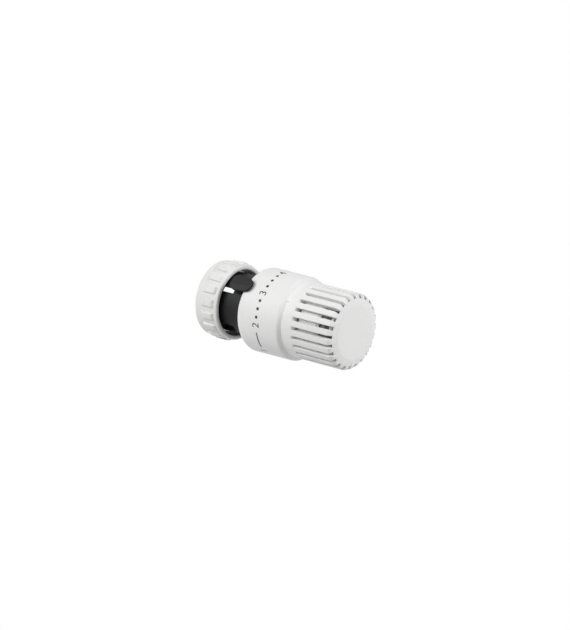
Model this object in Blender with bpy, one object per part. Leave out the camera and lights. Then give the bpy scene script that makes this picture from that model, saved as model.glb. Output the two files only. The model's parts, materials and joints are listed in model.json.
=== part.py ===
"""Thermostat head of a radiator valve: union nut, base with its pointer, hand wheel and sensor drive.

The head's axis is +X, from the valve connection to the hand wheel's closed end, and +Z is up. The origin
is the centre of the union nut's rear face. Lengths are in metres. Angles about the axis are in degrees,
from +Z towards -Y.
"""

import math

import bmesh
import bpy
from mathutils import Matrix, Vector

# Clearances
FIT_GAP = 0.0003
SLIDE_GAP = 0.0004
TRAVEL_MARGIN = 0.0005

# Union nut: M30 x 1.5 brass insert in a moulded grip sleeve
VALVE_THREAD_RADIUS = 0.015
VALVE_THREAD_DEPTH = 0.0008
VALVE_THREAD_LENGTH = 0.0075
INSERT_WALL = 0.001
INSERT_RECESS = 0.0005
WEB_HEIGHT = 0.001
WEB_THICKNESS = 0.002
LIP_STEP = 0.0006
LIP_WALL = 0.0024
LIP_ROUND = 0.001
NUT_REAR_ROUND = 0.0014
NUT_REAR_BAND = 0.0046
NUT_FRONT_RIM = 0.0021
PAD_COUNT = 18
PAD_LENGTH = 0.0081
PAD_WIDTH = 0.0036
PAD_HEIGHT = 0.00095
PAD_RAMP = 0.0007

# Split ring that keeps the nut on the base's neck
NUT_RING_THICKNESS = 0.0012
NUT_RING_GROOVE = 0.0009
NUT_RING_SHELF = 0.0006
NUT_RING_SPLIT = 24.0

# Base: neck, windowed tube and drive thread
NECK_WALL = 0.0025
TUBE_STEP = 0.0003
TUBE_WALL = 0.0023
CONE_INSET = 0.0017
CONE_RUN_OUT = 0.0013
WINDOW_COUNT = 4
WINDOW_SPAN = 24.0
POINTER_WINDOW_SPAN = 13.0
POINTER_WINDOW_TURN = 4.5
POINTER_WINDOW_LENGTH = 0.0086
WINDOW_LEDGE = 0.001
WINDOW_LENGTH = 0.0094
PLATE_LEDGE_HEIGHT = 0.0009
PLATE_LEDGE_LENGTH = 0.0008
DRIVE_THREAD_HEIGHT = 0.001
DRIVE_THREAD_OFFSET = 0.0008
DRIVE_THREAD_LENGTH = 0.011

# Pointer: a paddle on a post, reaching over the hand wheel's rear edge
POINTER_ANGLE = 43.0
POINTER_CLEARANCE = 0.0005
POINTER_THICKNESS = 0.0015
POINTER_ROOT_DEPTH = 0.001
POINTER_POST_LENGTH = 0.0036
POINTER_POST_WIDTH = 0.0048
POINTER_TAIL = 0.0072
POINTER_TAIL_WIDTH = 0.0064
POINTER_WIDTH = 0.0084
POINTER_CHAMFER = 0.0032
POINTER_TIP_RADIUS = 0.0033
POINTER_OVERLAP = 0.0055

# Setting range and the stops that end it
DRIVE_LEAD = 0.007
TURN_CLOSING = 158.0
TURN_OPENING = 88.0
STOP_LUG_SPAN = 12.0
STOP_LUG_LENGTH = 0.0016
STOP_LUG_HEIGHT = 0.0022
STOP_SPARE_ANGLE = 1.5

# Hand wheel: scale barrel, collar and slotted cage
WHEEL_GAP = 0.0144
BARREL_LENGTH = 0.0261
BARREL_WALL = 0.0023
BARREL_DRAFT = 0.0002
CROWN_LENGTH = 0.002
CROWN_DROP = 0.0017
CROWN_ROUND = 0.0034
STEP_LENGTH = 0.0014
STEP_DEPTH = 0.0021
STEP_ROUND = 0.0015
COLLAR_LENGTH = 0.0062
COLLAR_WALL = 0.002
SHOULDER_HEIGHT = 0.001
SHOULDER_SETBACK = 0.0002
CAGE_LENGTH = 0.0253
CAGE_DRAFT = 0.0001
CAGE_FRONT_ROUND = 0.0024
DISC_THICKNESS = 0.0014
DISC_RADIUS = 0.0136
DISC_RISE = 0.0016
SLOT_COUNT = 25
SLOT_WIDTH = 0.0018
SLOT_PHASE = 41.7
SLOT_RAMP = 0.0003
RIM_NOTCH_DEPTH = 0.0032
NUB_ANGLE = 47.0
NUB_WIDTH = 0.001
NUB_HEIGHT = 0.0006

# Drive sleeve, keyed into the hand wheel
SLEEVE_SETBACK = 0.0008
SLEEVE_WALL = 0.0023
SLEEVE_KEY_COUNT = 6
SLEEVE_KEY_WIDTH = 0.003
SLEEVE_KEY_HEIGHT = 0.0008
SLEEVE_KEY_LENGTH = 0.012

# Sensor carrier, its keys in the base and its ring in the hand wheel
CARRIER_RING_THICKNESS = 0.0009
CARRIER_RING_GROOVE = 0.001
CARRIER_RING_OVERLAP = 0.0012
CARRIER_FLANGE = 0.0012
CARRIER_HUB_LENGTH = 0.0014
CARRIER_HUB_HEIGHT = 0.002
CARRIER_GROOVE = 0.0017
CARRIER_WALL = 0.0019
CARRIER_CUP_WALL = 0.001
CARRIER_CUP_FLOOR = 0.001
CARRIER_CUP_REACH = 0.0132
CARRIER_GUIDE_LENGTH = 0.01
CARRIER_KEY_COUNT = 3
CARRIER_KEY_WIDTH = 0.003
CARRIER_KEY_HEIGHT = 0.0009
CARRIER_KEY_LENGTH = 0.012
CARRIER_KEY_SETBACK = 0.001

# Liquid sensor: can, rear ring, bellows and filling stub
AIR_GAP = 0.0005
CAN_WALL = 0.0008
CAN_LENGTH = 0.0146
CAN_ROUND = 0.001
REAR_RING_THICKNESS = 0.0017
LOCK_RING_THICKNESS = 0.001
LIQUID_GAP = 0.0016
BELLOWS_FOLDS = 5
BELLOWS_FOLD_DEPTH = 0.0022
BELLOWS_WALL = 0.0004
BELLOWS_END_GAP = 0.0017
PLATE_THICKNESS = 0.0008
PLATE_GAP = 0.0006
STUB_FLANGE_RADIUS = 0.0024
STUB_FLANGE = 0.0008
STUB_RADIUS = 0.0013
STUB_LENGTH = 0.0022
SPACER_BORE = 0.004
SPACER_WALL = 0.004
SPACER_LUG_COUNT = 3
SPACER_LUG_WIDTH = 0.0058
SPACER_LUG_REACH = 0.0148
SPACER_LUG_THICKNESS = 0.0014
SPACER_LUG_ANGLE = 63.0

# Guide plate across the base's tube, with the bush that guides the pressure pin
GUIDE_PLATE_THICKNESS = 0.0022
BUSH_WALL = 0.0017
BUSH_FLANGE_HEIGHT = 0.0015
BUSH_FLANGE = 0.0008
BUSH_TAIL = 0.0007

# Push line: rod, spring cup, overtravel spring and pressure pin
ROD_RADIUS = 0.0035
ROD_LENGTH = 0.0136
SPRING_RADIUS = 0.0056
SPRING_WIRE = 0.0013
SPRING_LENGTH = 0.0114
SPRING_TURNS = 5
SPRING_SIDE_GAP = 0.0005
CUP_FLOOR = 0.002
CUP_WALL = 0.0012
CUP_REAR_LIP = 0.0008
PIN_RADIUS = 0.0025
PIN_LENGTH = 0.0332
PIN_TIP_CHAMFER = 0.0006
PIN_HEAD_THICKNESS = 0.0018
PIN_STUB_LENGTH = 0.0035
CLIP_THICKNESS = 0.001

# Facets of the round shapes
NUT_SEGMENTS = 3 * PAD_COUNT
WHEEL_SEGMENTS = 2 * SLOT_COUNT
BASE_SEGMENTS = 48
INNER_SEGMENTS = 32
SMALL_SEGMENTS = 20
ARC_STEPS = 3
LONGEST_FILLET_SHARE = 0.48
SPRING_POINTS_PER_TURN = 10
GAP_POINTS_PER_TURN = 36
WELD_DISTANCE = 1e-6
SMOOTH_ANGLE = 40.0

# Union nut, from the thread outwards and from the rear face forwards
thread_bore = VALVE_THREAD_RADIUS - VALVE_THREAD_DEPTH
insert_radius = VALVE_THREAD_RADIUS + INSERT_WALL
grip_bore = insert_radius + FIT_GAP
lip_bore = grip_bore + LIP_STEP
band_radius = lip_bore + LIP_WALL
web_rear = INSERT_RECESS + VALVE_THREAD_LENGTH
insert_front = web_rear + WEB_THICKNESS
web_bore = thread_bore - WEB_HEIGHT
nut_length = NUT_REAR_BAND + PAD_LENGTH + NUT_FRONT_RIM

# Base, from the nut's web outwards and forwards
neck_radius = web_bore - FIT_GAP
neck_bore = neck_radius - NECK_WALL
groove_radius = neck_radius - NUT_RING_GROOVE
nut_ring_rear = web_rear - FIT_GAP - NUT_RING_THICKNESS
seat_x = nut_ring_rear - FIT_GAP - NUT_RING_SHELF
shoulder_x = insert_front + FIT_GAP
tube_radius = VALVE_THREAD_RADIUS + TUBE_STEP
tube_bore = tube_radius - TUBE_WALL
window_rear = shoulder_x + WINDOW_LEDGE
window_front = window_rear + WINDOW_LENGTH
ledge_rear = window_front + FIT_GAP
ledge_front = ledge_rear + PLATE_LEDGE_LENGTH
guide_plate_rear = ledge_front + FIT_GAP
guide_plate_front = guide_plate_rear + GUIDE_PLATE_THICKNESS

# Travel of the hand wheel along the base for its two ways of turning
travel_in = DRIVE_LEAD * TURN_CLOSING / 360
travel_out = DRIVE_LEAD * TURN_OPENING / 360

# Hand wheel and drive thread
wheel_rear = nut_length + WHEEL_GAP
drive_thread_radius = tube_radius + DRIVE_THREAD_HEIGHT
drive_thread_rear = wheel_rear + DRIVE_THREAD_OFFSET
tube_front = drive_thread_rear + DRIVE_THREAD_LENGTH
sleeve_bore = drive_thread_radius + FIT_GAP
sleeve_radius = sleeve_bore + SLEEVE_WALL
sleeve_rear = wheel_rear + SLEEVE_SETBACK
lug_rear = tube_front + travel_in + TRAVEL_MARGIN
sleeve_front = lug_rear + STOP_LUG_LENGTH
barrel_bore = sleeve_radius + FIT_GAP
barrel_radius = barrel_bore + BARREL_WALL
collar_radius = barrel_radius - STEP_DEPTH
collar_bore = collar_radius - COLLAR_WALL
cage_bore = collar_bore - SHOULDER_HEIGHT
cage_radius = collar_radius - CAGE_DRAFT
step_x = wheel_rear + BARREL_LENGTH
collar_x = step_x + STEP_LENGTH
slot_x = collar_x + COLLAR_LENGTH
wheel_shoulder_x = slot_x - SHOULDER_SETBACK
wheel_front = slot_x + CAGE_LENGTH
disc_inside = wheel_front - DISC_THICKNESS

# Sensor carrier and sensor, from the hand wheel's shoulder forwards and from the cage inwards
flange_front = wheel_shoulder_x - FIT_GAP
flange_rear = flange_front - CARRIER_FLANGE
flange_radius = collar_bore - FIT_GAP
carrier_ring_front = flange_rear - FIT_GAP
carrier_ring_rear = carrier_ring_front - CARRIER_RING_THICKNESS
hub_rear = flange_rear - CARRIER_HUB_LENGTH
carrier_rear = guide_plate_front + travel_in + TRAVEL_MARGIN
carrier_radius = tube_bore - SLIDE_GAP
hub_radius = carrier_radius + CARRIER_HUB_HEIGHT
cup_rear = flange_front + CARRIER_GROOVE
cup_floor = cup_rear + CARRIER_CUP_FLOOR
cup_front = flange_front + CARRIER_CUP_REACH
cup_radius = cage_bore - AIR_GAP
cup_bore = cup_radius - CARRIER_CUP_WALL
can_radius = cup_bore - FIT_GAP
can_bore = can_radius - CAN_WALL
can_rear = cup_floor + FIT_GAP
can_front = can_rear + CAN_LENGTH
rear_ring_rear = can_rear + FIT_GAP
bellows_rear = rear_ring_rear + REAR_RING_THICKNESS + FIT_GAP
bellows_front = can_front - CAN_WALL - BELLOWS_END_GAP
bellows_crest = can_bore - LIQUID_GAP
bellows_root = bellows_crest - BELLOWS_FOLD_DEPTH
bellows_bore = bellows_root - BELLOWS_WALL

# Push line, from the bellows back to the valve
plate_front = bellows_front - BELLOWS_WALL - FIT_GAP
plate_rear = plate_front - PLATE_THICKNESS
rod_front = plate_rear - FIT_GAP
spring_cup_front = rod_front - ROD_LENGTH
spring_front = spring_cup_front - CUP_FLOOR - FIT_GAP
spring_rear = spring_front - SPRING_LENGTH
pin_head_front = spring_rear - FIT_GAP
pin_head_rear = pin_head_front - PIN_HEAD_THICKNESS
clip_front = pin_head_rear - FIT_GAP
clip_rear = clip_front - CLIP_THICKNESS
spring_cup_rear = clip_rear - FIT_GAP - CUP_REAR_LIP
pin_tip = pin_head_rear - PIN_LENGTH
spring_cup_bore = SPRING_RADIUS + SPRING_WIRE / 2 + SPRING_SIDE_GAP
spring_cup_radius = spring_cup_bore + CUP_WALL
guide_bore = spring_cup_radius + FIT_GAP
pin_bore = PIN_RADIUS + FIT_GAP
bush_radius = pin_bore + BUSH_WALL


def clear_scene():
    """Removes every object of the open scene."""
    for obj in list(bpy.data.objects):
        bpy.data.objects.remove(obj, do_unlink=True)


def material(name, colour, roughness, metallic=0.0):
    """One Principled finish."""
    made = bpy.data.materials.new(name)
    made.use_nodes = True
    shader = made.node_tree.nodes["Principled BSDF"]
    shader.inputs["Base Color"].default_value = (*colour, 1.0)
    shader.inputs["Roughness"].default_value = roughness
    shader.inputs["Metallic"].default_value = metallic
    return made


def axis_empty(name, station, parent=None):
    """An empty on the head's axis that carries the pieces of one body."""
    empty = bpy.data.objects.new(name, None)
    empty.empty_display_size = tube_radius
    bpy.context.collection.objects.link(empty)
    empty["station"] = station
    empty.parent = parent
    empty.location.x = station - (parent["station"] if parent else 0.0)
    return empty


def rounded(corners):
    """Outline through (x, radius) corners, with an arc where a corner has a fillet as its third value."""
    outline = []
    for index, corner in enumerate(corners):
        here = Vector(corner[:2])
        if len(corner) == 2:
            outline.append(here)
            continue
        to_last = Vector(corners[index - 1][:2]) - here
        to_next = Vector(corners[(index + 1) % len(corners)][:2]) - here
        half_angle = to_last.angle(to_next) / 2
        longest = LONGEST_FILLET_SHARE * min(to_last.length, to_next.length)
        reach = min(corner[2] / math.tan(half_angle), longest)
        start = here + to_last.normalized() * reach
        end = here + to_next.normalized() * reach
        middle = (to_last.normalized() + to_next.normalized()).normalized()
        centre = here + middle * reach / math.cos(half_angle)
        sweep = math.copysign(math.pi - 2 * half_angle, (start - centre).cross(end - centre))
        for step in range(ARC_STEPS + 1):
            outline.append(centre + Matrix.Rotation(sweep * step / ARC_STEPS, 2) @ (start - centre))
    return outline


def add_loop(bm, outline, turn):
    """Points and edges of a closed (x, radius) outline, turned about the axis, without edges on the axis."""
    points = [bm.verts.new(turn @ Vector((x, 0.0, radius))) for x, radius in outline]
    pairs = zip(points, points[1:] + points[:1], outline, outline[1:] + outline[:1])
    edges = [bm.edges.new((a, b)) for a, b, first, second in pairs if first[1] > 0 or second[1] > 0]
    return points, edges


def add_turned(bm, outline, segments, phase=0.0):
    """A solid of revolution about the head's axis, with a facet centred on the angle phase."""
    start = Matrix.Rotation(math.radians(phase + 180 / segments), 3, "X")
    points, edges = add_loop(bm, outline, start)
    bmesh.ops.spin(
        bm,
        geom=points + edges,
        cent=(0, 0, 0),
        axis=(1, 0, 0),
        angle=math.tau,
        steps=segments,
        use_merge=True,
    )
    bmesh.ops.remove_doubles(bm, verts=bm.verts, dist=WELD_DISTANCE)


def add_sector(bm, outline, centre, span, steps):
    """Part of a solid of revolution: the outline swept through span degrees about centre."""
    start = Matrix.Rotation(math.radians(centre - span / 2), 3, "X")
    points, edges = add_loop(bm, outline, start)
    swept = bmesh.ops.spin(
        bm, geom=points + edges, cent=(0, 0, 0), axis=(1, 0, 0), angle=math.radians(span), steps=steps
    )
    last = [item for item in swept["geom_last"] if isinstance(item, bmesh.types.BMEdge)]
    bmesh.ops.edgeloop_fill(bm, edges=edges)
    bmesh.ops.edgeloop_fill(bm, edges=last)


def add_blade(bm, outline, width, angle):
    """An (x, radius) outline extruded square to its own plane, centred at an angle about the axis."""
    turn = Matrix.Rotation(math.radians(angle), 3, "X")
    low = [bm.verts.new(turn @ Vector((x, -width / 2, radius))) for x, radius in outline]
    face = bm.faces.new(low)
    raised = bmesh.ops.extrude_face_region(bm, geom=[face])["geom"]
    high = [item for item in raised if isinstance(item, bmesh.types.BMVert)]
    bmesh.ops.translate(bm, verts=high, vec=turn @ Vector((0.0, width, 0.0)))


def add_plan(bm, outline, low, high, angle):
    """An outline of (x, sideways) points extruded along the radius at an angle about the axis."""
    turn = Matrix.Rotation(math.radians(angle), 3, "X")
    base = [bm.verts.new(turn @ Vector((x, sideways, low))) for x, sideways in outline]
    face = bm.faces.new(base)
    raised = bmesh.ops.extrude_face_region(bm, geom=[face])["geom"]
    top = [item for item in raised if isinstance(item, bmesh.types.BMVert)]
    bmesh.ops.translate(bm, verts=top, vec=turn @ Vector((0.0, 0.0, high - low)))


def box_outline(x_low, x_high, radius_low, radius_high):
    """A rectangle in (x, radius)."""
    return [(x_low, radius_low), (x_low, radius_high), (x_high, radius_high), (x_high, radius_low)]


def even_angles(count, first=0.0):
    """Angles of count equal copies about the axis."""
    return [first + 360 * copy / count for copy in range(count)]


def piece(name, bm, parent, finish):
    """Makes a named piece from a mesh modelled in the head's own frame and hangs it on its body's empty."""
    bmesh.ops.recalc_face_normals(bm, faces=bm.faces)
    station = parent["station"]
    bmesh.ops.translate(bm, verts=bm.verts, vec=(-station, 0.0, 0.0))
    mesh = bpy.data.meshes.new(name)
    bm.to_mesh(mesh)
    bm.free()
    mesh.shade_smooth()
    mesh.set_sharp_from_angle(angle=math.radians(SMOOTH_ANGLE))
    obj = bpy.data.objects.new(name, mesh)
    bpy.context.collection.objects.link(obj)
    obj.parent = parent
    obj.data.materials.append(finish)
    return obj


def turned_piece(name, corners, segments, parent, finish, phase=0.0):
    """A piece that is one plain turned solid."""
    bm = bmesh.new()
    add_turned(bm, rounded(corners), segments, phase)
    return piece(name, bm, parent, finish)


def helper(name, bm, parent):
    """A shape that only cuts or joins others."""
    obj = piece(name, bm, parent, None)
    obj.hide_render = True
    obj.display_type = "WIRE"
    return obj


def combine(obj, other, operation):
    """Adds a Boolean of another shape to a piece."""
    modifier = obj.modifiers.new(other.name, "BOOLEAN")
    modifier.operation = operation
    modifier.object = other
    modifier.solver = "EXACT"


def make_nut_sleeve(body, finish):
    """Grip sleeve: plain rear band, raised pads and a rounded front lip."""
    corners = [
        (0.0, grip_bore),
        (0.0, band_radius, NUT_REAR_ROUND),
        (nut_length, band_radius, LIP_ROUND),
        (nut_length, lip_bore, LIP_ROUND),
        (insert_front + FIT_GAP, lip_bore),
        (insert_front + FIT_GAP, grip_bore),
    ]
    sleeve = turned_piece("nut_sleeve", corners, NUT_SEGMENTS, body, finish)
    pad_front = NUT_REAR_BAND + PAD_LENGTH
    pad = [
        (NUT_REAR_BAND - PAD_RAMP, band_radius - PAD_HEIGHT),
        (NUT_REAR_BAND + PAD_RAMP, band_radius + PAD_HEIGHT),
        (pad_front - PAD_RAMP, band_radius + PAD_HEIGHT),
        (pad_front + PAD_RAMP, band_radius - PAD_HEIGHT),
    ]
    pads = bmesh.new()
    for angle in even_angles(PAD_COUNT):
        add_blade(pads, pad, PAD_WIDTH, angle)
    combine(sleeve, helper("nut_pads", pads, body), "UNION")


def make_nut_insert(body, finish):
    """Threaded brass insert with the web that pulls on the base."""
    corners = [
        (INSERT_RECESS, thread_bore),
        (INSERT_RECESS, insert_radius),
        (insert_front, insert_radius),
        (insert_front, web_bore),
        (web_rear, web_bore),
        (web_rear, thread_bore),
    ]
    turned_piece("nut_insert", corners, BASE_SEGMENTS, body, finish)


def make_nut_snap_ring(body, finish):
    """Split ring in the groove of the base's neck, behind the nut's web."""
    ring = bmesh.new()
    section = box_outline(
        nut_ring_rear, nut_ring_rear + NUT_RING_THICKNESS, groove_radius + FIT_GAP, thread_bore - FIT_GAP
    )
    add_sector(ring, section, POINTER_ANGLE, 360 - NUT_RING_SPLIT, INNER_SEGMENTS)
    piece("nut_snap_ring", ring, body, finish)


def base_cuts(body):
    """Windows of the base's tube and the grooves that guide the carrier's keys."""
    cuts = bmesh.new()
    inside, outside = tube_bore - TUBE_WALL, tube_radius + TUBE_WALL
    window = box_outline(window_rear, window_front, inside, outside)
    for angle in even_angles(WINDOW_COUNT, POINTER_ANGLE)[1:]:
        add_sector(cuts, window, angle, WINDOW_SPAN, ARC_STEPS)
    window = box_outline(window_rear, window_rear + POINTER_WINDOW_LENGTH, inside, outside)
    add_sector(cuts, window, POINTER_ANGLE + POINTER_WINDOW_TURN, POINTER_WINDOW_SPAN, ARC_STEPS)
    groove = box_outline(
        guide_plate_front + FIT_GAP,
        lug_rear + travel_out + STOP_LUG_LENGTH + TRAVEL_MARGIN,
        carrier_radius - CARRIER_KEY_HEIGHT,
        tube_bore + CARRIER_KEY_HEIGHT + FIT_GAP,
    )
    for angle in even_angles(CARRIER_KEY_COUNT):
        add_blade(cuts, groove, CARRIER_KEY_WIDTH + 2 * FIT_GAP, angle)
    return helper("base_cuts", cuts, body)


def pointer_paddle(body):
    """Curved paddle: a shell concentric with the barrel, trimmed to the pointer's plan."""
    under = barrel_radius + POINTER_CLEARANCE
    tail_x = wheel_rear - POINTER_TAIL
    tip_centre = wheel_rear + POINTER_OVERLAP - POINTER_TIP_RADIUS
    shell = bmesh.new()
    section = box_outline(
        tail_x - TRAVEL_MARGIN, tip_centre + 2 * POINTER_TIP_RADIUS, under, under + POINTER_THICKNESS
    )
    add_sector(shell, section, POINTER_ANGLE, math.degrees(2 * POINTER_WIDTH / under), 2 * ARC_STEPS)
    paddle = helper("pointer_paddle", shell, body)
    plan = [
        (tail_x, -POINTER_TAIL_WIDTH / 2),
        (tail_x + POINTER_CHAMFER, -POINTER_WIDTH / 2),
    ]
    for step in range(2 * ARC_STEPS + 1):
        angle = math.pi * (step / (2 * ARC_STEPS) - 0.5)
        plan.append((tip_centre + POINTER_TIP_RADIUS * math.cos(angle), POINTER_TIP_RADIUS * math.sin(angle)))
    plan.append((tail_x + POINTER_CHAMFER, POINTER_WIDTH / 2))
    plan.append((tail_x, POINTER_TAIL_WIDTH / 2))
    trim = bmesh.new()
    add_plan(trim, plan, tube_bore, under + 2 * POINTER_THICKNESS, POINTER_ANGLE)
    combine(paddle, helper("pointer_plan", trim, body), "INTERSECT")
    return paddle


def pointer_post(body):
    """Post that carries the paddle on the base's tube, just ahead of the window."""
    front = wheel_rear - travel_in - TRAVEL_MARGIN
    post = bmesh.new()
    outline = box_outline(
        front - POINTER_POST_LENGTH,
        front,
        tube_radius - POINTER_ROOT_DEPTH,
        barrel_radius + POINTER_CLEARANCE + POINTER_THICKNESS / 2,
    )
    add_blade(post, outline, POINTER_POST_WIDTH, POINTER_ANGLE)
    return helper("pointer_post", post, body)


def stop_arc(body):
    """Raised arc on the base's front end, between whose ends the drive sleeve's lug can turn."""
    span = 360 - TURN_CLOSING - TURN_OPENING - STOP_LUG_SPAN - 2 * STOP_SPARE_ANGLE
    centre = 180 + (TURN_OPENING - TURN_CLOSING) / 2
    section = box_outline(
        tube_front - TRAVEL_MARGIN,
        lug_rear + travel_out + STOP_LUG_LENGTH / 2,
        tube_bore + FIT_GAP,
        drive_thread_radius - FIT_GAP,
    )
    arc = bmesh.new()
    add_sector(arc, section, centre, span, 4 * ARC_STEPS)
    return helper("stop_arc", arc, body)


def make_base_socket(body, finish):
    """Moulded base: neck, windowed tube, drive thread land, stop arc and pointer."""
    groove_front = web_rear
    corners = [
        (seat_x, neck_bore),
        (seat_x, neck_radius),
        (nut_ring_rear - FIT_GAP, neck_radius),
        (nut_ring_rear - FIT_GAP, groove_radius),
        (groove_front, groove_radius),
        (groove_front, neck_radius),
        (shoulder_x, neck_radius),
        (shoulder_x, tube_radius),
        (drive_thread_rear, tube_radius),
        (drive_thread_rear + DRIVE_THREAD_HEIGHT, drive_thread_radius),
        (tube_front, drive_thread_radius),
        (tube_front, tube_bore),
        (ledge_front, tube_bore),
        (ledge_front, tube_bore - PLATE_LEDGE_HEIGHT),
        (ledge_rear, tube_bore - PLATE_LEDGE_HEIGHT),
        (ledge_rear, tube_bore),
        (shoulder_x + CONE_RUN_OUT, tube_bore),
        (shoulder_x - CONE_INSET, neck_bore),
    ]
    base = turned_piece("base_socket", corners, BASE_SEGMENTS, body, finish)
    combine(base, stop_arc(body), "UNION")
    combine(base, base_cuts(body), "DIFFERENCE")
    combine(base, pointer_post(body), "UNION")
    combine(base, pointer_paddle(body), "UNION")


def make_pin_guide(body, plate_finish, bush_finish):
    """Plate across the base's tube, against its ledge, with a flanged bush in its hole."""
    plate = box_outline(guide_plate_rear, guide_plate_front, bush_radius + FIT_GAP, tube_bore - FIT_GAP)
    turned_piece("pin_guide_plate", plate, INNER_SEGMENTS, body, plate_finish)
    flange_x = guide_plate_front + FIT_GAP
    flange_top = bush_radius + BUSH_FLANGE_HEIGHT
    corners = [
        (guide_plate_rear - BUSH_TAIL, pin_bore),
        (guide_plate_rear - BUSH_TAIL, bush_radius),
        (flange_x, bush_radius),
        (flange_x, flange_top),
        (flange_x + BUSH_FLANGE, flange_top),
        (flange_x + BUSH_FLANGE, pin_bore),
    ]
    turned_piece("pin_guide_bush", corners, SMALL_SEGMENTS, body, bush_finish)


def cage_slots(body):
    """Slots of the cage, open over the rounded front edge, and the grooves for the drive sleeve's keys."""
    above = collar_radius + STEP_DEPTH
    below = cage_bore - SHOULDER_HEIGHT
    ramp_slope = SLOT_RAMP / (collar_radius - cage_bore)
    notch = cage_radius - RIM_NOTCH_DEPTH
    outline = [
        (slot_x - ramp_slope * STEP_DEPTH, above),
        (slot_x + SLOT_RAMP + ramp_slope * SHOULDER_HEIGHT, below),
        (disc_inside - FIT_GAP, below),
        (disc_inside - FIT_GAP, notch),
        (wheel_front + DISC_THICKNESS, notch),
        (wheel_front + DISC_THICKNESS, above),
    ]
    cuts = bmesh.new()
    for angle in even_angles(SLOT_COUNT, SLOT_PHASE):
        add_blade(cuts, outline, SLOT_WIDTH, angle)
    groove = box_outline(
        wheel_rear - TRAVEL_MARGIN,
        sleeve_rear + SLEEVE_KEY_LENGTH + FIT_GAP,
        sleeve_bore,
        sleeve_radius + SLEEVE_KEY_HEIGHT + FIT_GAP,
    )
    for angle in even_angles(SLEEVE_KEY_COUNT):
        add_blade(cuts, groove, SLEEVE_KEY_WIDTH + 2 * FIT_GAP, angle)
    return helper("wheel_cuts", cuts, body)


def make_hand_wheel(body, finish):
    """Hand wheel in one moulding: scale barrel, step, collar, slotted cage and closed end."""
    front_radius = barrel_radius - BARREL_DRAFT
    corners = [
        (wheel_rear, barrel_bore),
        (wheel_rear, barrel_radius - CROWN_DROP),
        (wheel_rear + CROWN_LENGTH, barrel_radius, CROWN_ROUND),
        (step_x, front_radius, STEP_ROUND),
        (collar_x, collar_radius),
        (wheel_front - DISC_RISE, cage_radius, CAGE_FRONT_ROUND),
        (wheel_front, DISC_RADIUS),
        (wheel_front, 0.0),
        (disc_inside, 0.0),
        (disc_inside, cage_bore),
        (wheel_shoulder_x, cage_bore),
        (wheel_shoulder_x, collar_bore),
        (carrier_ring_front + FIT_GAP, collar_bore),
        (carrier_ring_front + FIT_GAP, collar_bore + CARRIER_RING_GROOVE),
        (carrier_ring_rear - FIT_GAP, collar_bore + CARRIER_RING_GROOVE),
        (carrier_ring_rear - FIT_GAP, collar_bore),
        (step_x, collar_bore),
        (step_x - BARREL_WALL, barrel_bore),
    ]
    wheel = turned_piece("hand_wheel", corners, WHEEL_SEGMENTS, body, finish, SLOT_PHASE)
    combine(wheel, cage_slots(body), "DIFFERENCE")
    nub = bmesh.new()
    outline = box_outline(
        step_x - STEP_LENGTH / 2,
        collar_x + STEP_LENGTH / 2,
        collar_radius - COLLAR_WALL / 2,
        collar_radius + NUB_HEIGHT,
    )
    add_blade(nub, outline, NUB_WIDTH, NUB_ANGLE)
    combine(wheel, helper("wheel_nub", nub, body), "UNION")


def make_drive_sleeve(body, finish):
    """Sleeve with the drive thread's bore, keys on its outside and the stop lug at its front."""
    section = box_outline(sleeve_rear, sleeve_front, sleeve_bore, sleeve_radius)
    sleeve = turned_piece("drive_sleeve", section, BASE_SEGMENTS, body, finish)
    keys = bmesh.new()
    key = box_outline(
        sleeve_rear + FIT_GAP,
        sleeve_rear + SLEEVE_KEY_LENGTH,
        sleeve_radius - SLEEVE_WALL / 2,
        sleeve_radius + SLEEVE_KEY_HEIGHT,
    )
    for angle in even_angles(SLEEVE_KEY_COUNT):
        add_blade(keys, key, SLEEVE_KEY_WIDTH, angle)
    lug = box_outline(
        lug_rear, sleeve_front - FIT_GAP, sleeve_bore - STOP_LUG_HEIGHT, sleeve_bore + SLEEVE_WALL / 4
    )
    add_sector(keys, lug, 0.0, STOP_LUG_SPAN, ARC_STEPS)
    combine(sleeve, helper("sleeve_keys", keys, body), "UNION")


def make_carrier_snap_ring(body, finish):
    """Ring in the collar's groove, behind the carrier's flange."""
    section = box_outline(
        carrier_ring_rear,
        carrier_ring_front,
        flange_radius - CARRIER_RING_OVERLAP,
        collar_bore + CARRIER_RING_GROOVE - FIT_GAP,
    )
    ring = bmesh.new()
    add_sector(ring, section, POINTER_ANGLE, 360 - NUT_RING_SPLIT, INNER_SEGMENTS)
    piece("carrier_snap_ring", ring, body, finish)


def make_sensor_carrier(body, finish):
    """Carrier: keyed neck in the base's tube, flange in the hand wheel and cup round the sensor."""
    guide_rear = flange_front - CARRIER_GUIDE_LENGTH
    corners = [
        (carrier_rear, carrier_radius - CARRIER_WALL),
        (carrier_rear, carrier_radius),
        (hub_rear, carrier_radius),
        (hub_rear, hub_radius),
        (flange_rear, hub_radius),
        (flange_rear, flange_radius),
        (flange_front, flange_radius),
        (flange_front, carrier_radius),
        (cup_rear, carrier_radius),
        (cup_rear, cup_radius),
        (cup_front, cup_radius),
        (cup_front, cup_bore),
        (cup_floor, cup_bore),
        (cup_floor, guide_bore),
        (guide_rear, guide_bore),
        (guide_rear, carrier_radius - CARRIER_WALL),
    ]
    carrier = turned_piece("sensor_carrier", corners, INNER_SEGMENTS, body, finish)
    keys = bmesh.new()
    key_rear = carrier_rear + CARRIER_KEY_SETBACK
    key = box_outline(
        key_rear,
        key_rear + CARRIER_KEY_LENGTH,
        carrier_radius - CARRIER_WALL / 2,
        tube_bore + CARRIER_KEY_HEIGHT,
    )
    for angle in even_angles(CARRIER_KEY_COUNT):
        add_blade(keys, key, CARRIER_KEY_WIDTH, angle)
    combine(carrier, helper("carrier_keys", keys, body), "UNION")


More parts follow.
